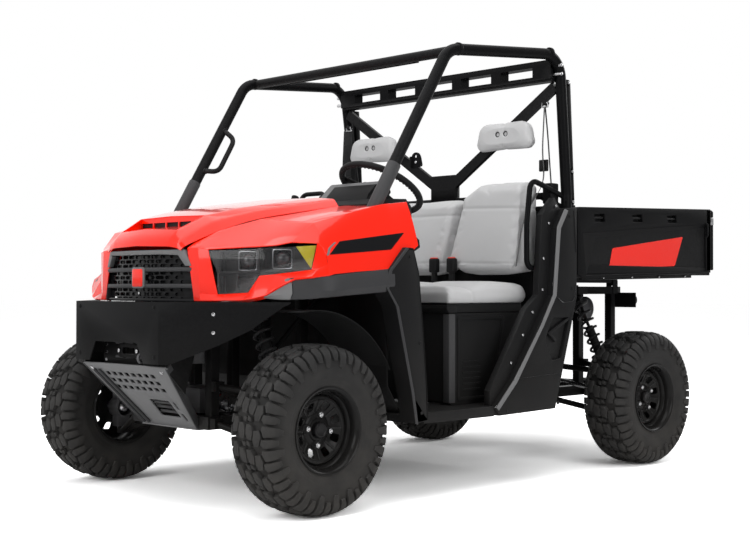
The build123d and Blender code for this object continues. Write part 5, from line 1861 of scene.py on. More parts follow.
# ---------------------------------------------------------------- cargo box
@dataclass(frozen=True)
class CargoBox:
    """Moulded cargo box: sculpted sides with tie-down pockets, ribbed floor, rails and a latched gate."""

    rear: float = -1563.0
    front: float = -395.0
    half: float = 740.0
    low: float = 930.0
    top: float = 1255.0
    wall: float = 45.0
    recess: tuple[Point2, ...] = ((-432, 1117), (-1516, 1196), (-1522, 952), (-462, 922))
    tie_downs: tuple[Point2, ...] = ((-568, 1196), (-884, 1206), (-1192, 1214))
    badge: tuple[Point2, ...] = ((-686, 1053), (-1310, 1126), (-1233, 975), (-657, 953))
    gate_span: Span = (958.0, 1276.0)
    gate_thickness: float = 42.0
    gate_hinge: Point2 = (-1577.0, 948.0)
    floor_ribs: int = 9
    rib_pitch: float = 136.0

    def side(self) -> Form:
        """Left wall: a layer with the recess and pockets, over one with the pockets alone and the wall."""
        plane = side_plane(self.half)
        outline = ((self.rear, 944), (self.front - 52, 906), (self.front, 926),
                   (self.front, 1221), (self.front - 14, 1239), (self.rear, 1278))
        pockets = []
        for x, z in self.tie_downs:
            pockets.append([(x - 46, z - 19), (x + 34, z - 22), (x + 46, z + 13), (x - 38, z + 19)])
        outer = Form.prism(plane, outline, -14, 0, [self.recess, *pockets]).bevel(3.0, 3)
        middle = Form.prism(plane, inset(outline, 3), -28, -12, pockets)
        inner = Form.prism(plane, inset(outline, 3), -self.wall, -26)
        # sloping faces from the wall down into the recess, ahead of it and over it
        edge = [(x, self.half - 0.5, z) for x, z in (self.recess[3], self.recess[0], self.recess[1])]
        foot = [(x, self.half - 12.5, z) for x, z in ((-464, 922), (-548, 1099), (-1516, 1179))]
        slope = Form.loft([edge, foot]).wall(1.0)
        strip = ((self.rear, 1268), (self.front - 14, 1229), (self.front - 14, 1239), (self.rear, 1278))
        cap = Form.prism(side_plane(self.half - self.wall / 2), strip, -self.wall / 2 - 4, self.wall / 2 - 1)
        return Form.join([outer, middle, inner, slope, cap.bevel(4, 3)])

    def build(self) -> None:
        """Builds the tub, its badges and rails, and the gate."""
        inside = self.half - self.wall
        floor = Form.block((self.rear, self.front), (-self.half + 6, self.half - 6),
                           (self.low, self.low + 40))
        head = Form.block((self.front - self.wall, self.front - 1), (-inside, inside),
                          (self.low, self.top - 4))
        parts = [floor.bevel(3, 2, 25), head.bevel(6, 3, 25), self.side().both_sides()]
        for i in range(self.floor_ribs):
            y = (i - (self.floor_ribs - 1) / 2) * self.rib_pitch
            rib = Form.block((self.rear + 10, self.front - self.wall - 20), (y - 34, y + 34),
                             (self.low + 38, self.low + 47))
            parts.append(rib.bevel(5))
        for y in (-500, -250, 0, 250, 500):
            rib = Form.block((self.front - self.wall - 8, self.front + 4), (y - 10, y + 10),
                             (self.low + 40, self.top - 30))
            parts.append(rib.bevel(4))
        for side in (1, -1):
            ledge = Form.block((self.rear + 4, self.front - self.wall), sides(side, inside - 10, inside + 4),
                               (1090, 1130))
            parts.append(ledge.bevel(4))
            corner = Form.block((self.rear, self.rear + 40), sides(side, self.half - 20, self.half),
                                (self.low + 22, 1274))
            parts.append(corner.bevel(3))
        Form.join(parts).piece("cargo_tub", "cargo_bed", (BED_BLACK,), ("bed_tub",), smooth=30)
        face = side_plane(self.half - 11.6)
        badge = Form.prism(face, soften(self.badge, 10), -0.5, 1.2).bevel(0.5, 1)
        badge.both_sides().piece("cargo_badges", "cargo_bed", (DECAL_RED,))
        self.fittings()
        self.gate()

    def fittings(self) -> None:
        """Pocket cleats, the handle on the rear corner and bolts along the under-rail."""
        parts = Kit()
        for x, z in self.tie_downs:
            parts.rod((x - 34, self.half - 12, z), (x + 34, self.half - 12, z - 2), 6).paint(0)
        handle = bent([(-1520, self.half - 6, 1130), (-1520, self.half + 6, 1136),
                       (-1520, self.half + 6, 1196), (-1520, self.half - 6, 1202)], 10, 4)
        parts.tube(handle, 6)
        rail = Form.prism(side_plane(self.half - 40), ((-1430, 916), (-470, 898), (-452, 930), (-1430, 946)),
                          -6, 6)
        parts.append(rail.bevel(3))
        for i in range(4):
            x = -640 - i * 240
            bolt = Form.bolt((x, self.half - 34, 912 + i * 4), (x, self.half - 28, 912 + i * 4), 6)
            parts.append(bolt.paint(1))
        Form.join(parts).both_sides().piece("cargo_fittings", "cargo_bed", (POWDER, BRIGHT))

    def gate(self) -> None:
        """Gate with three sunk panels, a latch handle and end caps on each side."""
        low, high = self.gate_span
        x = self.rear - self.gate_thickness
        outline = ((-732, low), (732, low), (732, high - 10), (722, high), (-722, high), (-732, high - 10))
        sunk = [rounded(420, 190, 22, (455 * i, (low + high) / 2 - 12)) for i in (-1, 0, 1)]
        outer = Form.prism(front_plane(x), outline, 0, 14, sunk).bevel(4, 3)
        inner = Form.prism(front_plane(x), inset(outline, 2), 12, 40).bevel(3)
        parts = Kit([outer, inner])
        for i in (-1, 0, 1):
            for z in (1050, 1100, 1150):
                rib = Form.block((x + 6, x + 14), (455 * i - 190, 455 * i + 190), (z - 5, z + 5))
                parts.append(rib.bevel(2.5))
        handle = Form.block((-1630, x + 2), (-86, 86), (1206, 1222)).bevel(6, 3)
        plate = Form.prism(front_plane(x), rounded(230, 46, 12, (0, 1214)), -5, 2).bevel(2)
        parts += [handle.paint(1), plate.paint(1)]
        hinge_x, hinge_z = self.gate_hinge
        for y in (-420, 420):
            parts.rod((hinge_x, y - 40, hinge_z), (hinge_x, y + 40, hinge_z), 12).bevel(1.5).paint(1)
            knuckle = parts.block((hinge_x - 8, hinge_x + 8), (y - 40, y + 40), (hinge_z, hinge_z + 20))
            knuckle.bevel(2).paint(1)
        for side in (1, -1):
            catch = Form.block((x + 6, x + 36), sides(side, 726, 738), (1196, 1236)).bevel(3)
            parts.append(catch.paint(2))
        Form.join(parts).piece("gate_panel", "tailgate", (BED_BLACK, POWDER, BRIGHT), ("tailgate",),
                               smooth=30)


# ---------------------------------------------------------------- side panels and pillar trims
@dataclass(frozen=True)
class SidePanels:
    """Rear side panels: pale front edge, bolted channel, seams and a pocket with its rib."""

    y: float = 765.0
    outline: tuple[Point2, ...] = ((228, 344), (103, 460), (-175, 830), (-205, 1138), (-267, 1224),
                                   (-353, 1233), (-353, 820), (-244, 483), (-191, 320), (200, 313))
    pocket: tuple[Point2, ...] = ((-172, 727), (-300, 729), (-236, 545), (-166, 536), (-117, 631))
    seams: tuple[tuple[Point2, ...], ...] = (((-330, 1217), (-337, 1123), (-346, 1025)),
                                             ((-197, 825), (-243, 794), (-327, 803), (-347, 880)),
                                             ((105, 460), (60, 468), (-100, 474), (-236, 479)))
    edge_strip: tuple[Point2, ...] = ((-262, 1222), (-205, 1138), (-175, 832), (-85, 697), (103, 462),
                                      (222, 350), (206, 336), (84, 448), (-104, 690), (-198, 826),
                                      (-230, 1130), (-286, 1214))
    channel: tuple[Point2, ...] = ((-225, 1274), (-135, 1191), (-115, 953), (-107, 830), (-23, 771),
                                   (228, 420), (228, 344), (103, 460), (-175, 830), (-205, 1138),
                                   (-267, 1224))
    channel_bolts: tuple[Point2, ...] = ((-212, 1240), (-160, 1160), (-120, 1000), (-112, 860), (-40, 760),
                                         (28, 660), (110, 540))

    def build(self) -> None:
        """Builds both panels."""
        plane = side_plane(self.y)
        holes = [soften(self.pocket, 12)]
        skin = Form.prism(plane, self.outline, -6, 0, holes).bevel(2.4, 3)
        floor = Form.prism(plane, self.pocket, -26, -20)
        rim = Form.prism(plane, inset(self.pocket, -6), -24, -3, [self.pocket]).bevel(2)
        rib = Form.prism(plane, ((-304, 734), (-140, 660), (-196, 618), (-204, 630), (-164, 656),
                                 (-300, 716)), -22, -2)
        parts = Kit([skin, floor, rim, rib.bevel(3)])
        returns = Form.prism(plane, self.outline, -60, -5, [inset(self.outline, 6)])
        parts.append(returns)
        for line in self.seams:
            path = [(x, self.y + 0.2, z) for x, z in line]
            parts.tube(bent(path, 20, 4), 2.2, 8).paint(3)
        parts.prism(plane, self.edge_strip, -4, 3.0).bevel(2.4, 3).paint(1)
        parts.prism(side_plane(740), self.channel, -40, -6).bevel(3)
        for x, z in self.channel_bolts:
            parts.rod((x - 22, 734, z - 6), (x - 22, 740, z - 6), 7, 6, 20).bevel(1.2).paint(2)
        for x, z in ((-300, 1190), (-320, 860), (-210, 345), (150, 330)):
            parts.rod((x, self.y - 2, z), (x, self.y + 2.5, z), 8, 6.5, 20).paint(0)
        Form.join(parts).both_sides().piece("side_panel_skins", "chassis",
                                            (BLACK_TRIM, PALE_TRIM, BRIGHT, GLOSS_BLACK), ("side_panels",),
                                            30)


@dataclass(frozen=True)
class PillarTrims:
    """Front side trims with a pale bevelled edge, and the sill with its tread plate."""

    y: float = 782.0
    outline: tuple[Point2, ...] = ((797, 1021), (754, 1019), (721, 920), (697, 695), (673, 447), (669, 328),
                                   (742, 320), (765, 446), (854, 789), (909, 861), (891, 932))
    edge: tuple[Point2, ...] = ((797, 1021), (891, 932), (909, 861), (854, 789), (765, 446), (742, 320))

    def build(self) -> None:
        """Builds both trims and sills."""
        plane = side_plane(self.y)
        body = Form.prism(plane, self.outline, -82, 0, [inset(self.outline, 7)])
        skin = Form.prism(plane, self.outline, -8, 0).bevel(2.6, 3)
        inner_edge = [(x - 16, z - 4) for x, z in reversed(self.edge)]
        strip = Form.prism(plane, [*self.edge, *inner_edge], -6, 2.4).bevel(2.2, 3)
        parts = Kit([body, skin, strip.paint(1)])
        for x, z in ((772, 985), (716, 640), (706, 360)):
            parts.rod((x, self.y - 2, z), (x, self.y + 2.5, z), 8, 6.5, 20)
        Form.join(parts).both_sides().piece("pillar_trim_skins", "chassis", (BLACK_TRIM, FLARE_GREY),
                                            ("pillar_trims",), smooth=30)
        sill = []
        profile = ((668, 350), (233, 350), (200, 344), (196, 318), (240, 313), (668, 313))
        sill.append(Form.prism(side_plane(758), profile, -60, 0).bevel(4, 3))
        for i in range(26):
            x = 250 + i * 16
            sill.append(Form.block((x, x + 8), (704, 752), (349, 352.5)).bevel(1, 1))
        Form.join(sill).both_sides().piece("sill_treads", "chassis", (BLACK_TRIM,))


# ---------------------------------------------------------------- front protection
@dataclass(frozen=True)
class Bumper:
    """Fittings on the folded front plate, whose cut-out shows the winch plate: corner bolts, fairlead slot
    and hook.
    """

    x: float = 1630.0
    bolts: tuple[Point2, ...] = ((258, 786), (-258, 786), (258, 596), (-258, 596))
    wing_bolts: tuple[Point3, ...] = ((1489, 440, 760), (1489, 440, 690))
    winch_x: float = 1560.0
    fairlead_z: float = 610.0

    def build(self) -> None:
        """Builds what is on the plates."""
        parts = Kit()
        for y, z in self.bolts:
            parts.rod((self.x - 2, y, z), (self.x + 1.5, y, z), 10, 9, 24).bevel(0.8).paint(0)
            parts.rod((self.x - 1.5, y, z), (self.x - 0.2, y, z), 6, 6, 6).paint(1)
        for side in (1, -1):
            for x, y, z in self.wing_bolts:
                head = Form.rod((x - 2, side * (y - 2), z), (x + 3, side * (y + 5), z), 8, 7, 20).bevel(0.8)
                parts.append(head.paint(1))
        # winch plate: fairlead ring, bolts, hook and mounting ears
        plate = self.winch_x
        ring_shape = Form.prism(front_plane(plate), rounded(150, 56, 16, (0, self.fairlead_z)), 0, 9,
                                [rounded(88, 26, 12, (0, self.fairlead_z))])
        parts.append(ring_shape.bevel(3, 3).paint(0))
        for y in (-62, 62):
            parts.bolt((plate + 6, y, 610), (plate + 16, y, 610), 9, 1.4).paint(1)
        hook = bent([(plate + 4, 118, 604), (plate + 34, 118, 604), (plate + 46, 118, 586),
                     (plate + 36, 118, 568), (plate + 20, 118, 572)], 14, 5)
        parts.tube(hook, 7, 14).paint(2)
        for y in (-166, 166):
            for z in (570, 600, 630):
                parts.rod((plate, y, z), (plate + 4, y, z), 7, 6, 20).paint(1)
        for z in (662, 671):
            parts.block((plate, plate + 5), (-180, 180), (z - 2, z + 2)).bevel(1, 1).paint(0)
        for y in (-70, 0, 70):
            for z in (585, 640):
                slot = Form.block((plate + 1, plate + 7), (y - 26, y + 26), (z - 5, z + 5)).bevel(2)
                parts.append(slot.paint(3))
        Form.join(parts).piece("bumper_fittings", "chassis", (POWDER, BRIGHT, CAST, FLARE_GREY))


@dataclass(frozen=True)
class SkidPlate:
    """Sloped guard: square holes, louvres and two raised ribs."""

    foot: Point3 = (1370.0, 0.0, 300.0)
    head: Point3 = (1598.0, 0.0, 555.0)
    hole_columns: int = 8
    hole_rows: int = 3

    @property
    def plane(self) -> Workplane:
        """Plane of the guard's outer face: right is the vehicle's left, up runs up the slope."""
        run = (Vector(self.head) - Vector(self.foot)).normalized()
        right = Vector((0, 1, 0))
        return Workplane(Vector(self.foot), right, run, right.cross(run))

    def build(self) -> None:
        """Builds the sloped plate, its flat foot and its edges."""
        length = (Vector(self.head) - Vector(self.foot)).length
        outline = ((-189, 0), (189, 0), (290, length - 8), (284, length), (-284, length), (-290, length - 8))
        holes = []
        for row in range(self.hole_rows):
            for column in range(self.hole_columns):
                y, v = (column - (self.hole_columns - 1) / 2) * 44, 210 + row * 38
                holes.append([(y - 14, v - 11), (y + 14, v - 11), (y + 14, v + 11), (y - 14, v + 11)])
        holes.append(rounded(132, 96, 8, (66, 104), 3))
        holes += [rounded(14, 44, 6, (158, v), 3) for v in (60, 124)]
        plane = self.plane
        parts = Kit([Form.prism(plane, outline, -6, 0, holes).bevel(1.2, 2, 50)])
        for side in (1, -1):
            edge = [(side * 189, 0), (side * 290, length - 8), (side * 282, length - 4), (side * 181, 4)]
            parts.prism(plane, edge, -28, 2).bevel(2).paint(1)
            web = Form.prism(side_plane(side * 279), ((1594, 553), (1560, 650), (1440, 650), (1500, 450)), -3,
                             3)
            parts.append(web.bevel(1.2).paint(3))
        for foot, head in ((-150, -226), (-118, -194)):
            rib = ((foot - 7, 14), (foot + 7, 14), (head + 7, length - 30), (head - 7, length - 30))
            parts.prism(plane, rib, 0, 12).bevel(5, 3).paint(1)
        for v in (78, 104, 130):
            louvre = Form.prism(plane, ((0, v - 9), (132, v - 9), (132, v + 3), (0, v + 3)), -16, -9).bevel(2)
            parts.append(louvre.paint(1))
        parts.block((1240, 1372), (-189, 189), (294, 300)).bevel(1.2)
        for y in (-150, -50, 50, 150):
            parts.rod((1300, y, 290), (1300, y, 295), 9, 9, 6).paint(2)
        for y in (-240, 240):
            at = plane.at(y, length - 26)
            parts.rod(at, at + plane.out * 4, 9, 8, 20).paint(2)
        Form.join(parts).piece("skid_guard", "chassis", (PALE_TRIM, FLARE_GREY, BRIGHT, POWDER),
                               ("skid_plate",))


# ---------------------------------------------------------------- roll cage fittings
@dataclass(frozen=True)
class Cage:
    """Second rear posts with tabs, header gussets, brackets and the passenger's grab handle."""

    post_tabs: tuple[Point2, ...] = ((-338, 1810), (-366, 1402), (-372, 1262))
    sleeve: tuple[Point3, Point3] = ((893, 662, 1129), (748, 667, 1362))
    gusset: tuple[Point2, ...] = ((300, 640), (372, 640), (372, 430), (352, 430))
    gusset_z: float = 1869.0
    second_post: tuple[Point2, ...] = ((-366, 1815), (-338, 1815), (-370, 1262), (-398, 1262))

    def build(self) -> None:
        """Builds what is fastened to the cage."""
        parts = Kit()
        # flat channel behind each rear post, with tabs that bolt it on
        parts.prism(side_plane(704), self.second_post, -16, 16).bevel(3)
        for x, z in self.post_tabs:
            tab = Form.prism(side_plane(720), rounded(62, 30, 12, (x + 6, z)), -6, 0).bevel(1.4)
            bolt = Form.bolt((x - 8, 719, z), (x - 8, 727, z), 8).paint(1)
            parts += [tab, bolt]
        # header plate with its gusset and holes
        holes = [ring(11, (358, 560), 16), ring(9, (356, 500), 16)]
        parts.prism(plan_plane(self.gusset_z), self.gusset, 0, 6, holes).bevel(1, 1, 50)
        parts.block((350, 356), (-430, 430), (1852, 1886)).bevel(1.5)
        # joint collars and caps on the roof tubes
        for x, y, z in ((-215, 713, 1930), (372, 678, 1878)):
            parts.rod((x - 7, y, z), (x + 7, y, z), 28, 28, 32).bevel(1.5)
        for x, z in ((-262, 1840), (-262, 1880)):
            parts.bolt((x, 700, z), (x, 748, z), 9, 1.4).paint(1)
        # foot plate of the front post
        a, b = (Vector(p) for p in self.sleeve)
        parts.rod(a, b, 28.5, 28.5, 36).bevel(2).paint(2)
        Form.join(parts).both_sides().piece("cage_fittings", "chassis", (POWDER, BRIGHT, GREY_TRIM))
        handle = bent([(711, -658, 1422), (666, -590, 1415), (568, -592, 1577), (582, -662, 1629)], 34, 6)
        mounts = [Form.rod(p, q, 15, 15, 24).bevel(2) for p, q in
                  (((711, -668, 1422), (702, -640, 1420)), ((582, -672, 1629), (580, -646, 1622)))]
        Form.join([Form.tube(handle, 12, 18), *mounts]).piece("grab_handle", "chassis", (GRIP,))


@dataclass(frozen=True)
class Belts:
    """Three-point belts: retractor, shoulder guide, webbing and buckles."""

    anchor: Point3 = (-262.0, 656.0, 1700.0)

    def build(self) -> None:
        """Builds both outer belts and the buckles."""
        x, y, z = self.anchor
        parts = Kit()
        guide = Form.tube([(x + 6, y - 18, z - 4), (x + 6, y + 18, z - 4), (x + 6, y + 14, z + 16),
                           (x + 6, y - 14, z + 16)],
                          4, 10, True)
        parts.append(guide.paint(1))
        parts.rod((x - 12, y, z + 14), (x + 14, y, z + 14), 12, 12, 20).bevel(2).paint(2)
        drop = [(x + 4, y, z - 4), (x - 14, y + 2, 1560), (x - 26, y + 4, 1420), (x - 34, y + 6, 1330)]
        parts.tube(bent(drop, 60, 6), 23, 20, False, 0.07)
        lap = [(x + 10, y, z - 6), (x + 24, y - 2, 1480), (x + 10, y + 2, 1352), (x + 150, y - 12, 1180),
               (x + 196, y - 16, 960)]
        parts.tube(bent(lap, 80, 6), 23, 20, False, 0.07)
        retractor = Form.block((x - 66, x - 8), (y - 28, y + 26), (1250, 1346)).bevel(8, 3)
        parts.append(retractor.paint(2))
        tongue = Form.block((x + 8, x + 20), (y - 26, y + 24), (1398, 1452)).bevel(4)
        parts.append(tongue.paint(2))
        Form.join(parts).both_sides().piece("seat_belts", "chassis", (WEBBING, BRIGHT, BLACK_TRIM))
        buckles = []
        for side, y in ((1, 262), (-1, 262), (1, 150)):
            stalk = Form.block((-66, -44), sides(side, y - 12, y + 12), (884, 940)).bevel(4)
            head = Form.block((-72, -36), sides(side, y - 22, y + 22), (934, 1002)).bevel(8, 3)
            button = Form.block((-66, -40), sides(side, y - 15, y + 15), (998, 1006)).bevel(3)
            buckles += [stalk, head, button.paint(1)]
        Form.join(buckles).piece("belt_buckles", "chassis", (BLACK_TRIM, RED_BUTTON))


# ---------------------------------------------------------------- dash, controls and steering wheel
WHEEL_AT = Workplane(Vector((587, 430, 1286)), Vector((0, 1, 0)), Vector((0.857, 0, 0.515)),
                     Vector((-0.515, 0, 0.857)))


@dataclass(frozen=True)
class Dash:
    """What stands on the dash: hooded binnacle, knobs, grab bar, glovebox lid, switches, lever and pedals."""

    binnacle: tuple[Point2, ...] = ((800, 1216), (704, 1302), (680, 1304), (668, 1290), (684, 1226),
                                    (690, 1214))
    binnacle_y: Point2 = (238.0, 560.0)
    lid: tuple[Point2, ...] = ((600, 1090), (594, 1092), (603, 1194), (610, 1196))
    bar_y: Point2 = (5.0, 145.0)

    def build(self) -> None:
        """Builds the pieces on the dash and the pedals."""
        low, high = self.binnacle_y
        side = side_plane(0)
        parts = Kit([Form.prism(side, self.binnacle, low, high).bevel(7, 3, 30)])
        # pale plate on the binnacle's top: its pale grey is partly the plate's own grey and partly a painted
        # reflection of the bright sky above
        top = ((798, 1219), (704, 1303.5), (701, 1301), (795, 1216))
        parts.prism(side, top, low + 10, high - 10).bevel(1.0).paint(1)
        face = Vector((-0.99, 0, 0.12))
        parts.lathe(((-8, 0), (-8, 44), (6, 44), (6, 38), (0, 36), (0, 0)), (676, 430, 1262), face,
                    40).paint(2)
        parts.lathe(((6, 37), (8, 40), (8, 45), (0, 46), (-4, 45)), (676, 430, 1262), face, 40).paint(3)
        for y, tall in ((10, 44), (196, 30)):
            knob = ((-12, 0), (-12, 19), (tall - 14, 16), (tall - 4, 17), (tall, 12), (tall, 0))
            parts.lathe(knob, (717, y, 1226), Vector((-0.35, 0, 0.94)), 28)
        bar_low, bar_high = self.bar_y
        bar = bent([(680, bar_low, 1222), (652, bar_low, 1276), (652, bar_high, 1276), (680, bar_high, 1222)],
                   30, 6)
        parts.tube(bar, 10, 16)
        parts.prism(side, self.lid, -478, -182).bevel(2.5, 2, 30)
        parts.block((590, 600), (-350, -310), (1160, 1176)).bevel(3).paint(2)
        for i in range(4):
            y = 60 + i * 34
            parts.block((594, 606), (y - 12, y + 12), (1124, 1166)).bevel(2.5).paint(2)
        for y in (-90, -30):
            parts.rod((606, y, 1142), (596, y, 1141), 18, 15, 28).bevel(2).paint(2)
        top_pad = [(829, 1203), (800, 1223.5), (642, 1229.5), (640, 1226), (798, 1220), (828, 1200)]
        for i in range(10):
            y = -560 + i * 52
            parts.prism(side, top_pad, y, y + 30).bevel(1.2)
        Form.join(parts).piece("dash_fittings", "chassis", (BLACK_TRIM, PALE_TRIM, GLOSS_BLACK, BRIGHT))
        lever = bent([(640, 206, 1010), (560, 206, 1120), (545, 206, 1180)], 40, 5)
        controls = [Form.tube(lever, 8, 14), Form.lathe(((-24, 0), (-22, 14), (6, 19), (22, 15), (28, 0)),
                                                        (543, 206, 1190), Vector((-0.2, 0, 1)), 28)]
        for y, wide in ((330, 34), (455, 24)):
            arm = bent([(776, y, 620), (700, y, 520), (690, y, 430)], 40, 5)
            controls.append(Form.tube(arm, 8, 12))
            pad = Form.block((678, 688), (y - wide, y + wide), (400, 470)).bevel(4, 3)
            controls.append(pad.turn(-18, (0, 1, 0), (683, y, 435)))
        Form.join(controls).piece("hand_and_foot_controls", "chassis", (POWDER,))


@dataclass(frozen=True)
class SteeringWheel:
    """Moulded rim with finger ridges behind it, three flat spokes and a domed hub."""

    radius: float = 178.0
    grip: float = 14.0
    ridges: int = 60

    def at(self, angle: float, reach: float, out: float = 0.0) -> Vector:
        """Point of the wheel.

        Args:
            angle: Degrees round from the top.
            reach: Distance from the axis.
            out: Height above the rim's plane.

        Returns:
            The point.
        """
        turn = math.radians(angle)
        return WHEEL_AT.at(reach * math.sin(turn), reach * math.cos(turn), out)

    def build(self) -> None:
        """Builds the wheel."""
        rim = Form.tube([self.at(i * 3.75, self.radius) for i in range(96)], self.grip, 18, True)
        parts = Kit([rim])
        for i in range(self.ridges):
            angle = i * 360 / self.ridges
            bead = Form.rod(self.at(angle, self.radius - 7, -9), self.at(angle, self.radius + 5, -11), 6.5,
                            6.5, 10)
            parts.append(bead.bevel(2.0, 2, 50))
        for angle in (60, 180, 300):
            middle = [self.at(angle, 26, -14), self.at(angle, 84, -13), self.at(angle, 140, -4),
                      self.at(angle, 172, 0)]
            parts.tube(middle, 15, 16, False, 0.32).paint(1)
        hub = ((-46, 0), (-46, 24), (-22, 28), (-18, 44), (-2, 46), (6, 40), (10, 24), (11, 0))
        parts.lathe(hub, WHEEL_AT.origin, WHEEL_AT.out, 48).paint(1)
        parts.lathe(((9, 30), (12, 29), (12, 25), (9, 24)), WHEEL_AT.origin, WHEEL_AT.out, 48).paint(2)
        Form.join(parts).piece("steering_wheel_skin", "steering_wheel", (GRIP, BLACK_TRIM, GREY_TRIM),
                               ("steering_wheel",), smooth=40)


# ---------------------------------------------------------------- shocks, exhaust, tail lamps and covers
@dataclass(frozen=True)
class Shock:
    """Coil-over shock between two eyes."""

    low: Point3
    high: Point3
    coil: float = 34.0
    wire: float = 6.5
    turns: float = 6.0

    def parts(self) -> list[Form]:
        """Damper, rod, eyes, spring plates and coil of the left shock."""
        low, high = Vector(self.low), Vector(self.high)
        run = (high - low).normalized()
        long = (high - low).length
        body = ((0.02 * long, 15), (0.06 * long, 22), (0.54 * long, 22), (0.56 * long, 20), (0.56 * long, 8),
                (0.98 * long, 8))
        plates = (((0.13, 22), (0.13, 45), (0.15, 45), (0.17, 24)),
                  ((0.87, 10), (0.89, 40), (0.92, 44), (0.92, 10)))
        parts = Kit([Form.lathe(((0.02 * long, 0), *body, (0.98 * long, 0)), low, run, 28).paint(0)])
        for plate in plates:
            profile = [(t * long, r) for t, r in plate]
            parts.lathe([*profile, profile[0]], low, run, 32).paint(1)
        for end in (low, high):
            parts.rod(end - Vector((17, 0, 0)), end + Vector((17, 0, 0)), 16, 16, 28).bevel(2).paint(1)
            parts.rod(end - Vector((23, 0, 0)), end + Vector((23, 0, 0)), 8, 8, 6).bevel(1, 1).paint(2)
        side = run.orthogonal().normalized()
        other = run.cross(side)
        steps = round(self.turns * 22)
        coil = []
        for i in range(steps + 1):
            turn = math.tau * self.turns * i / steps
            along = long * (0.16 + 0.70 * i / steps)
            coil.append(low + run * along + (side * math.cos(turn) + other * math.sin(turn)) * self.coil)
        parts.tube(coil, self.wire, 10).paint(3)
        return parts


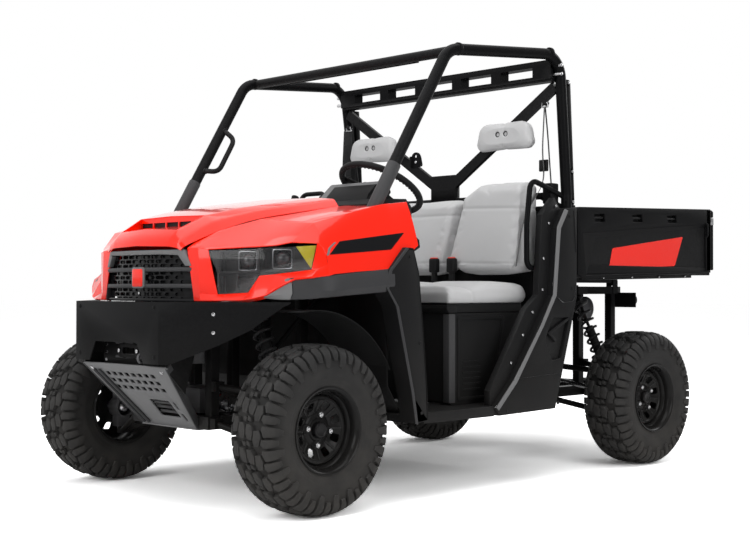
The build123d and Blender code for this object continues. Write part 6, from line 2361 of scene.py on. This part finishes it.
@dataclass(frozen=True)
class Rear:
    """Shocks, the muffler, tail lamps, the engine's side covers and hoses."""

    muffler: Point3 = (-1235.0, 0.0, 752.0)
    muffler_radius: float = 64.0
    muffler_half: float = 190.0

    def build(self) -> None:
        """Builds them."""
        shocks = Shock((1200, 470, 474), (1200, 330, 804)).parts() + Shock((-950, 492, 474),
                                                                           (-950, 330, 814)).parts()
        Form.join(shocks).both_sides().piece("coil_over_shocks", "chassis",
                                             (BLACK_TRIM, POWDER, BRIGHT, SPRING), ("dampers",), smooth=40)
        self.exhaust()
        self.tail_lamps()
        self.covers()

    def exhaust(self) -> None:
        """Muffler across the frame with its bands, straps and tail pipe."""
        r, half = self.muffler_radius, self.muffler_half
        profile = ((-half, 0), (-half, r - 16), (-half + 6, r - 4), (-half + 14, r), (half - 14, r),
                   (half - 6, r - 4), (half, r - 16), (half, 0))
        x, _, z = self.muffler
        across = Vector((0, 1, 0))
        parts = Kit([Form.lathe(profile, self.muffler, across, 48)])
        for at in (-110, 110):
            band = ((at - 14, r + 0.5), (at - 14, r + 3.5), (at + 14, r + 3.5), (at + 14, r + 0.5),
                    (at - 14, r + 0.5))
            parts.lathe(band, self.muffler, across, 48).paint(1)
            strap = Form.block((x - 4, x + 4), (at - 14, at + 14), (z + r, 878)).bevel(1.5)
            parts.append(strap.paint(1))
        tail = bent([(x - 20, -150, z - 20), (x - 80, -150, z - 60), (x - 190, -150, z - 62)], 30, 6)
        parts.tube(tail, 22, 24)
        feed = bent([(x + 30, 60, z - 40), (x + 130, 60, 610), (-850, 60, 600)], 60, 6)
        parts.tube(feed, 21, 24)
        Form.join(parts).piece("exhaust_muffler", "chassis", (CAST, POWDER), smooth=40)

    def tail_lamps(self) -> None:
        """Lamps and reflectors on the rear posts."""
        parts = Kit()
        for y in (246, 318):
            shell = Form.prism(front_plane(-1452), rounded(62, 62, 29, (y, 798), 8), -14, 18).bevel(2)
            glass = Form.prism(front_plane(-1466), rounded(52, 52, 25, (y, 798), 8), -5, 2).bevel(3, 3)
            parts += [shell, glass.paint(1)]
        plate = Form.block((-1438, -1430), (200, 360), (758, 838)).bevel(2)
        parts += [plate, Form.rod((-1434, 200, 798), (-1434, 180, 798), 8).paint(0)]
        parts.block((-1440, -1420), (180, 220), (778, 870)).bevel(2)
        Form.join(parts).both_sides().piece("tail_lamps", "chassis", (POWDER, RED_LENS))

    def covers(self) -> None:
        """Belt-drive cover, air box and hoses beside the engine, and boots on the half shafts."""
        parts = Kit()
        cover = Form.prism(side_plane(196), rounded(400, 190, 92, (-610, 560), 10), 0, 92).bevel(16, 4)
        parts.append(cover)
        for x in (-700, -520):
            disc = ((88, 0), (88, 62), (96, 58), (98, 30), (98, 0))
            parts.lathe(disc, (x, 196, 560), Vector((0, 1, 0)), 40)
        box = Form.block((-640, -400), (210, 470), (700, 858)).bevel(22, 4, 25)
        lid = Form.block((-646, -394), (204, 476), (800, 812)).bevel(4, 2, 25)
        parts += [box, lid]
        for i in range(5):
            x = -620 + i * 48
            parts.block((x, x + 16), (466, 478), (716, 792)).bevel(4)
        duct = bent([(-520, 300, 710), (-520, 300, 640), (-520, 240, 600)], 40, 6)
        parts.tube(duct, 34, 24)
        parts += [Form.block((-470, -430), (430, 560), (660, 690)).bevel(6, 3, 25).paint(0),
                  Form.tube(bent([(-420, 330, 720), (-380, 420, 640), (-470, 520, 600), (-640, 440, 560)], 60,
                                 6), 17, 18)]
        for x, z in ((-470, 840), (-560, 844), (-430, 672), (-450, 760)):
            parts.bolt((x, 474, z), (x, 490, z), 9, 1.4).paint(1)
        Form.join(parts).piece("engine_covers", "chassis", (BLACK_TRIM, BRIGHT), smooth=40)
        boots = []
        for x, y in ((1190, 150), (1190, 438), (-940, 150), (-940, 470)):
            side = 1 if y < 300 else -1
            profile = [(0, 0), (0, 44)]
            for i in range(5):
                profile += [(14 + i * 12, 42 - i * 5), (20 + i * 12, 33 - i * 4)]
            profile.append((20 + 48, 0))
            z = 405 if side > 0 else 345
            boots.append(Form.lathe(profile, (x, y, z), Vector((0, side, -0.16)), 28))
        Form.join(boots).both_sides().piece("shaft_boots", "chassis", (RUBBER,), smooth=40)


@dataclass(frozen=True)
class BraceEar:
    """Belt ear on the crossed brace behind the seats."""

    x: float = -285.0

    def build(self) -> None:
        """Builds the ear."""
        ear = ((140, 1478), (214, 1466), (218, 1526), (206, 1546), (186, 1552), (164, 1546), (152, 1528))
        plate = Form.prism(front_plane(self.x), soften(ear, 10), 0, 7,
                           [ring(7, (186, 1530), 18)]).bevel(1.2, 2, 50)
        rib = Form.block((self.x + 4, self.x + 22), (208, 215), (1472, 1530)).bevel(2)
        bolt = Form.bolt((self.x + 6, 180, 1500), (self.x + 13, 180, 1500), 8).paint(1)
        Form.join([plate, rib, bolt]).mirror().piece("belt_ear", "chassis", (POWDER, BRIGHT))


PASSENGER_BACK = replace(OUTER_BACK, name="passenger_back_rest", mirrored=True)
ASSEMBLIES = (
    Group("wheels", (Wheels(),)),
    Group("frame and covers", ROUNDED),
    Group("bench", (SeatBase(), SeatCushion(), OUTER_BACK, PASSENGER_BACK, MIDDLE_BACK, HeadRest(1),
                    HeadRest(-1))),
    Group("nose", (Hood(), Fenders(), HeadLamps(), Grille())),
    Group("body", (CargoBox(), SidePanels(), PillarTrims())),
    Group("fittings", (Bumper(), SkidPlate(), Cage(), Belts())),
    Group("details", (Dash(), SteeringWheel(), Rear(), BraceEar())),
)


# ---------------------------------------------------------------- the whole vehicle
def main() -> None:
    """Builds every sub-assembly, then the studio."""
    logging.basicConfig(level=logging.INFO, format="%(message)s")
    bpy.context.scene.view_settings.view_transform = "Standard"
    carry_over()
    for assembly in ASSEMBLIES:
        assembly.build()
        LOG.info("built the %s", assembly.name)
    Studio().build()


if __name__ == "__main__":
    main()
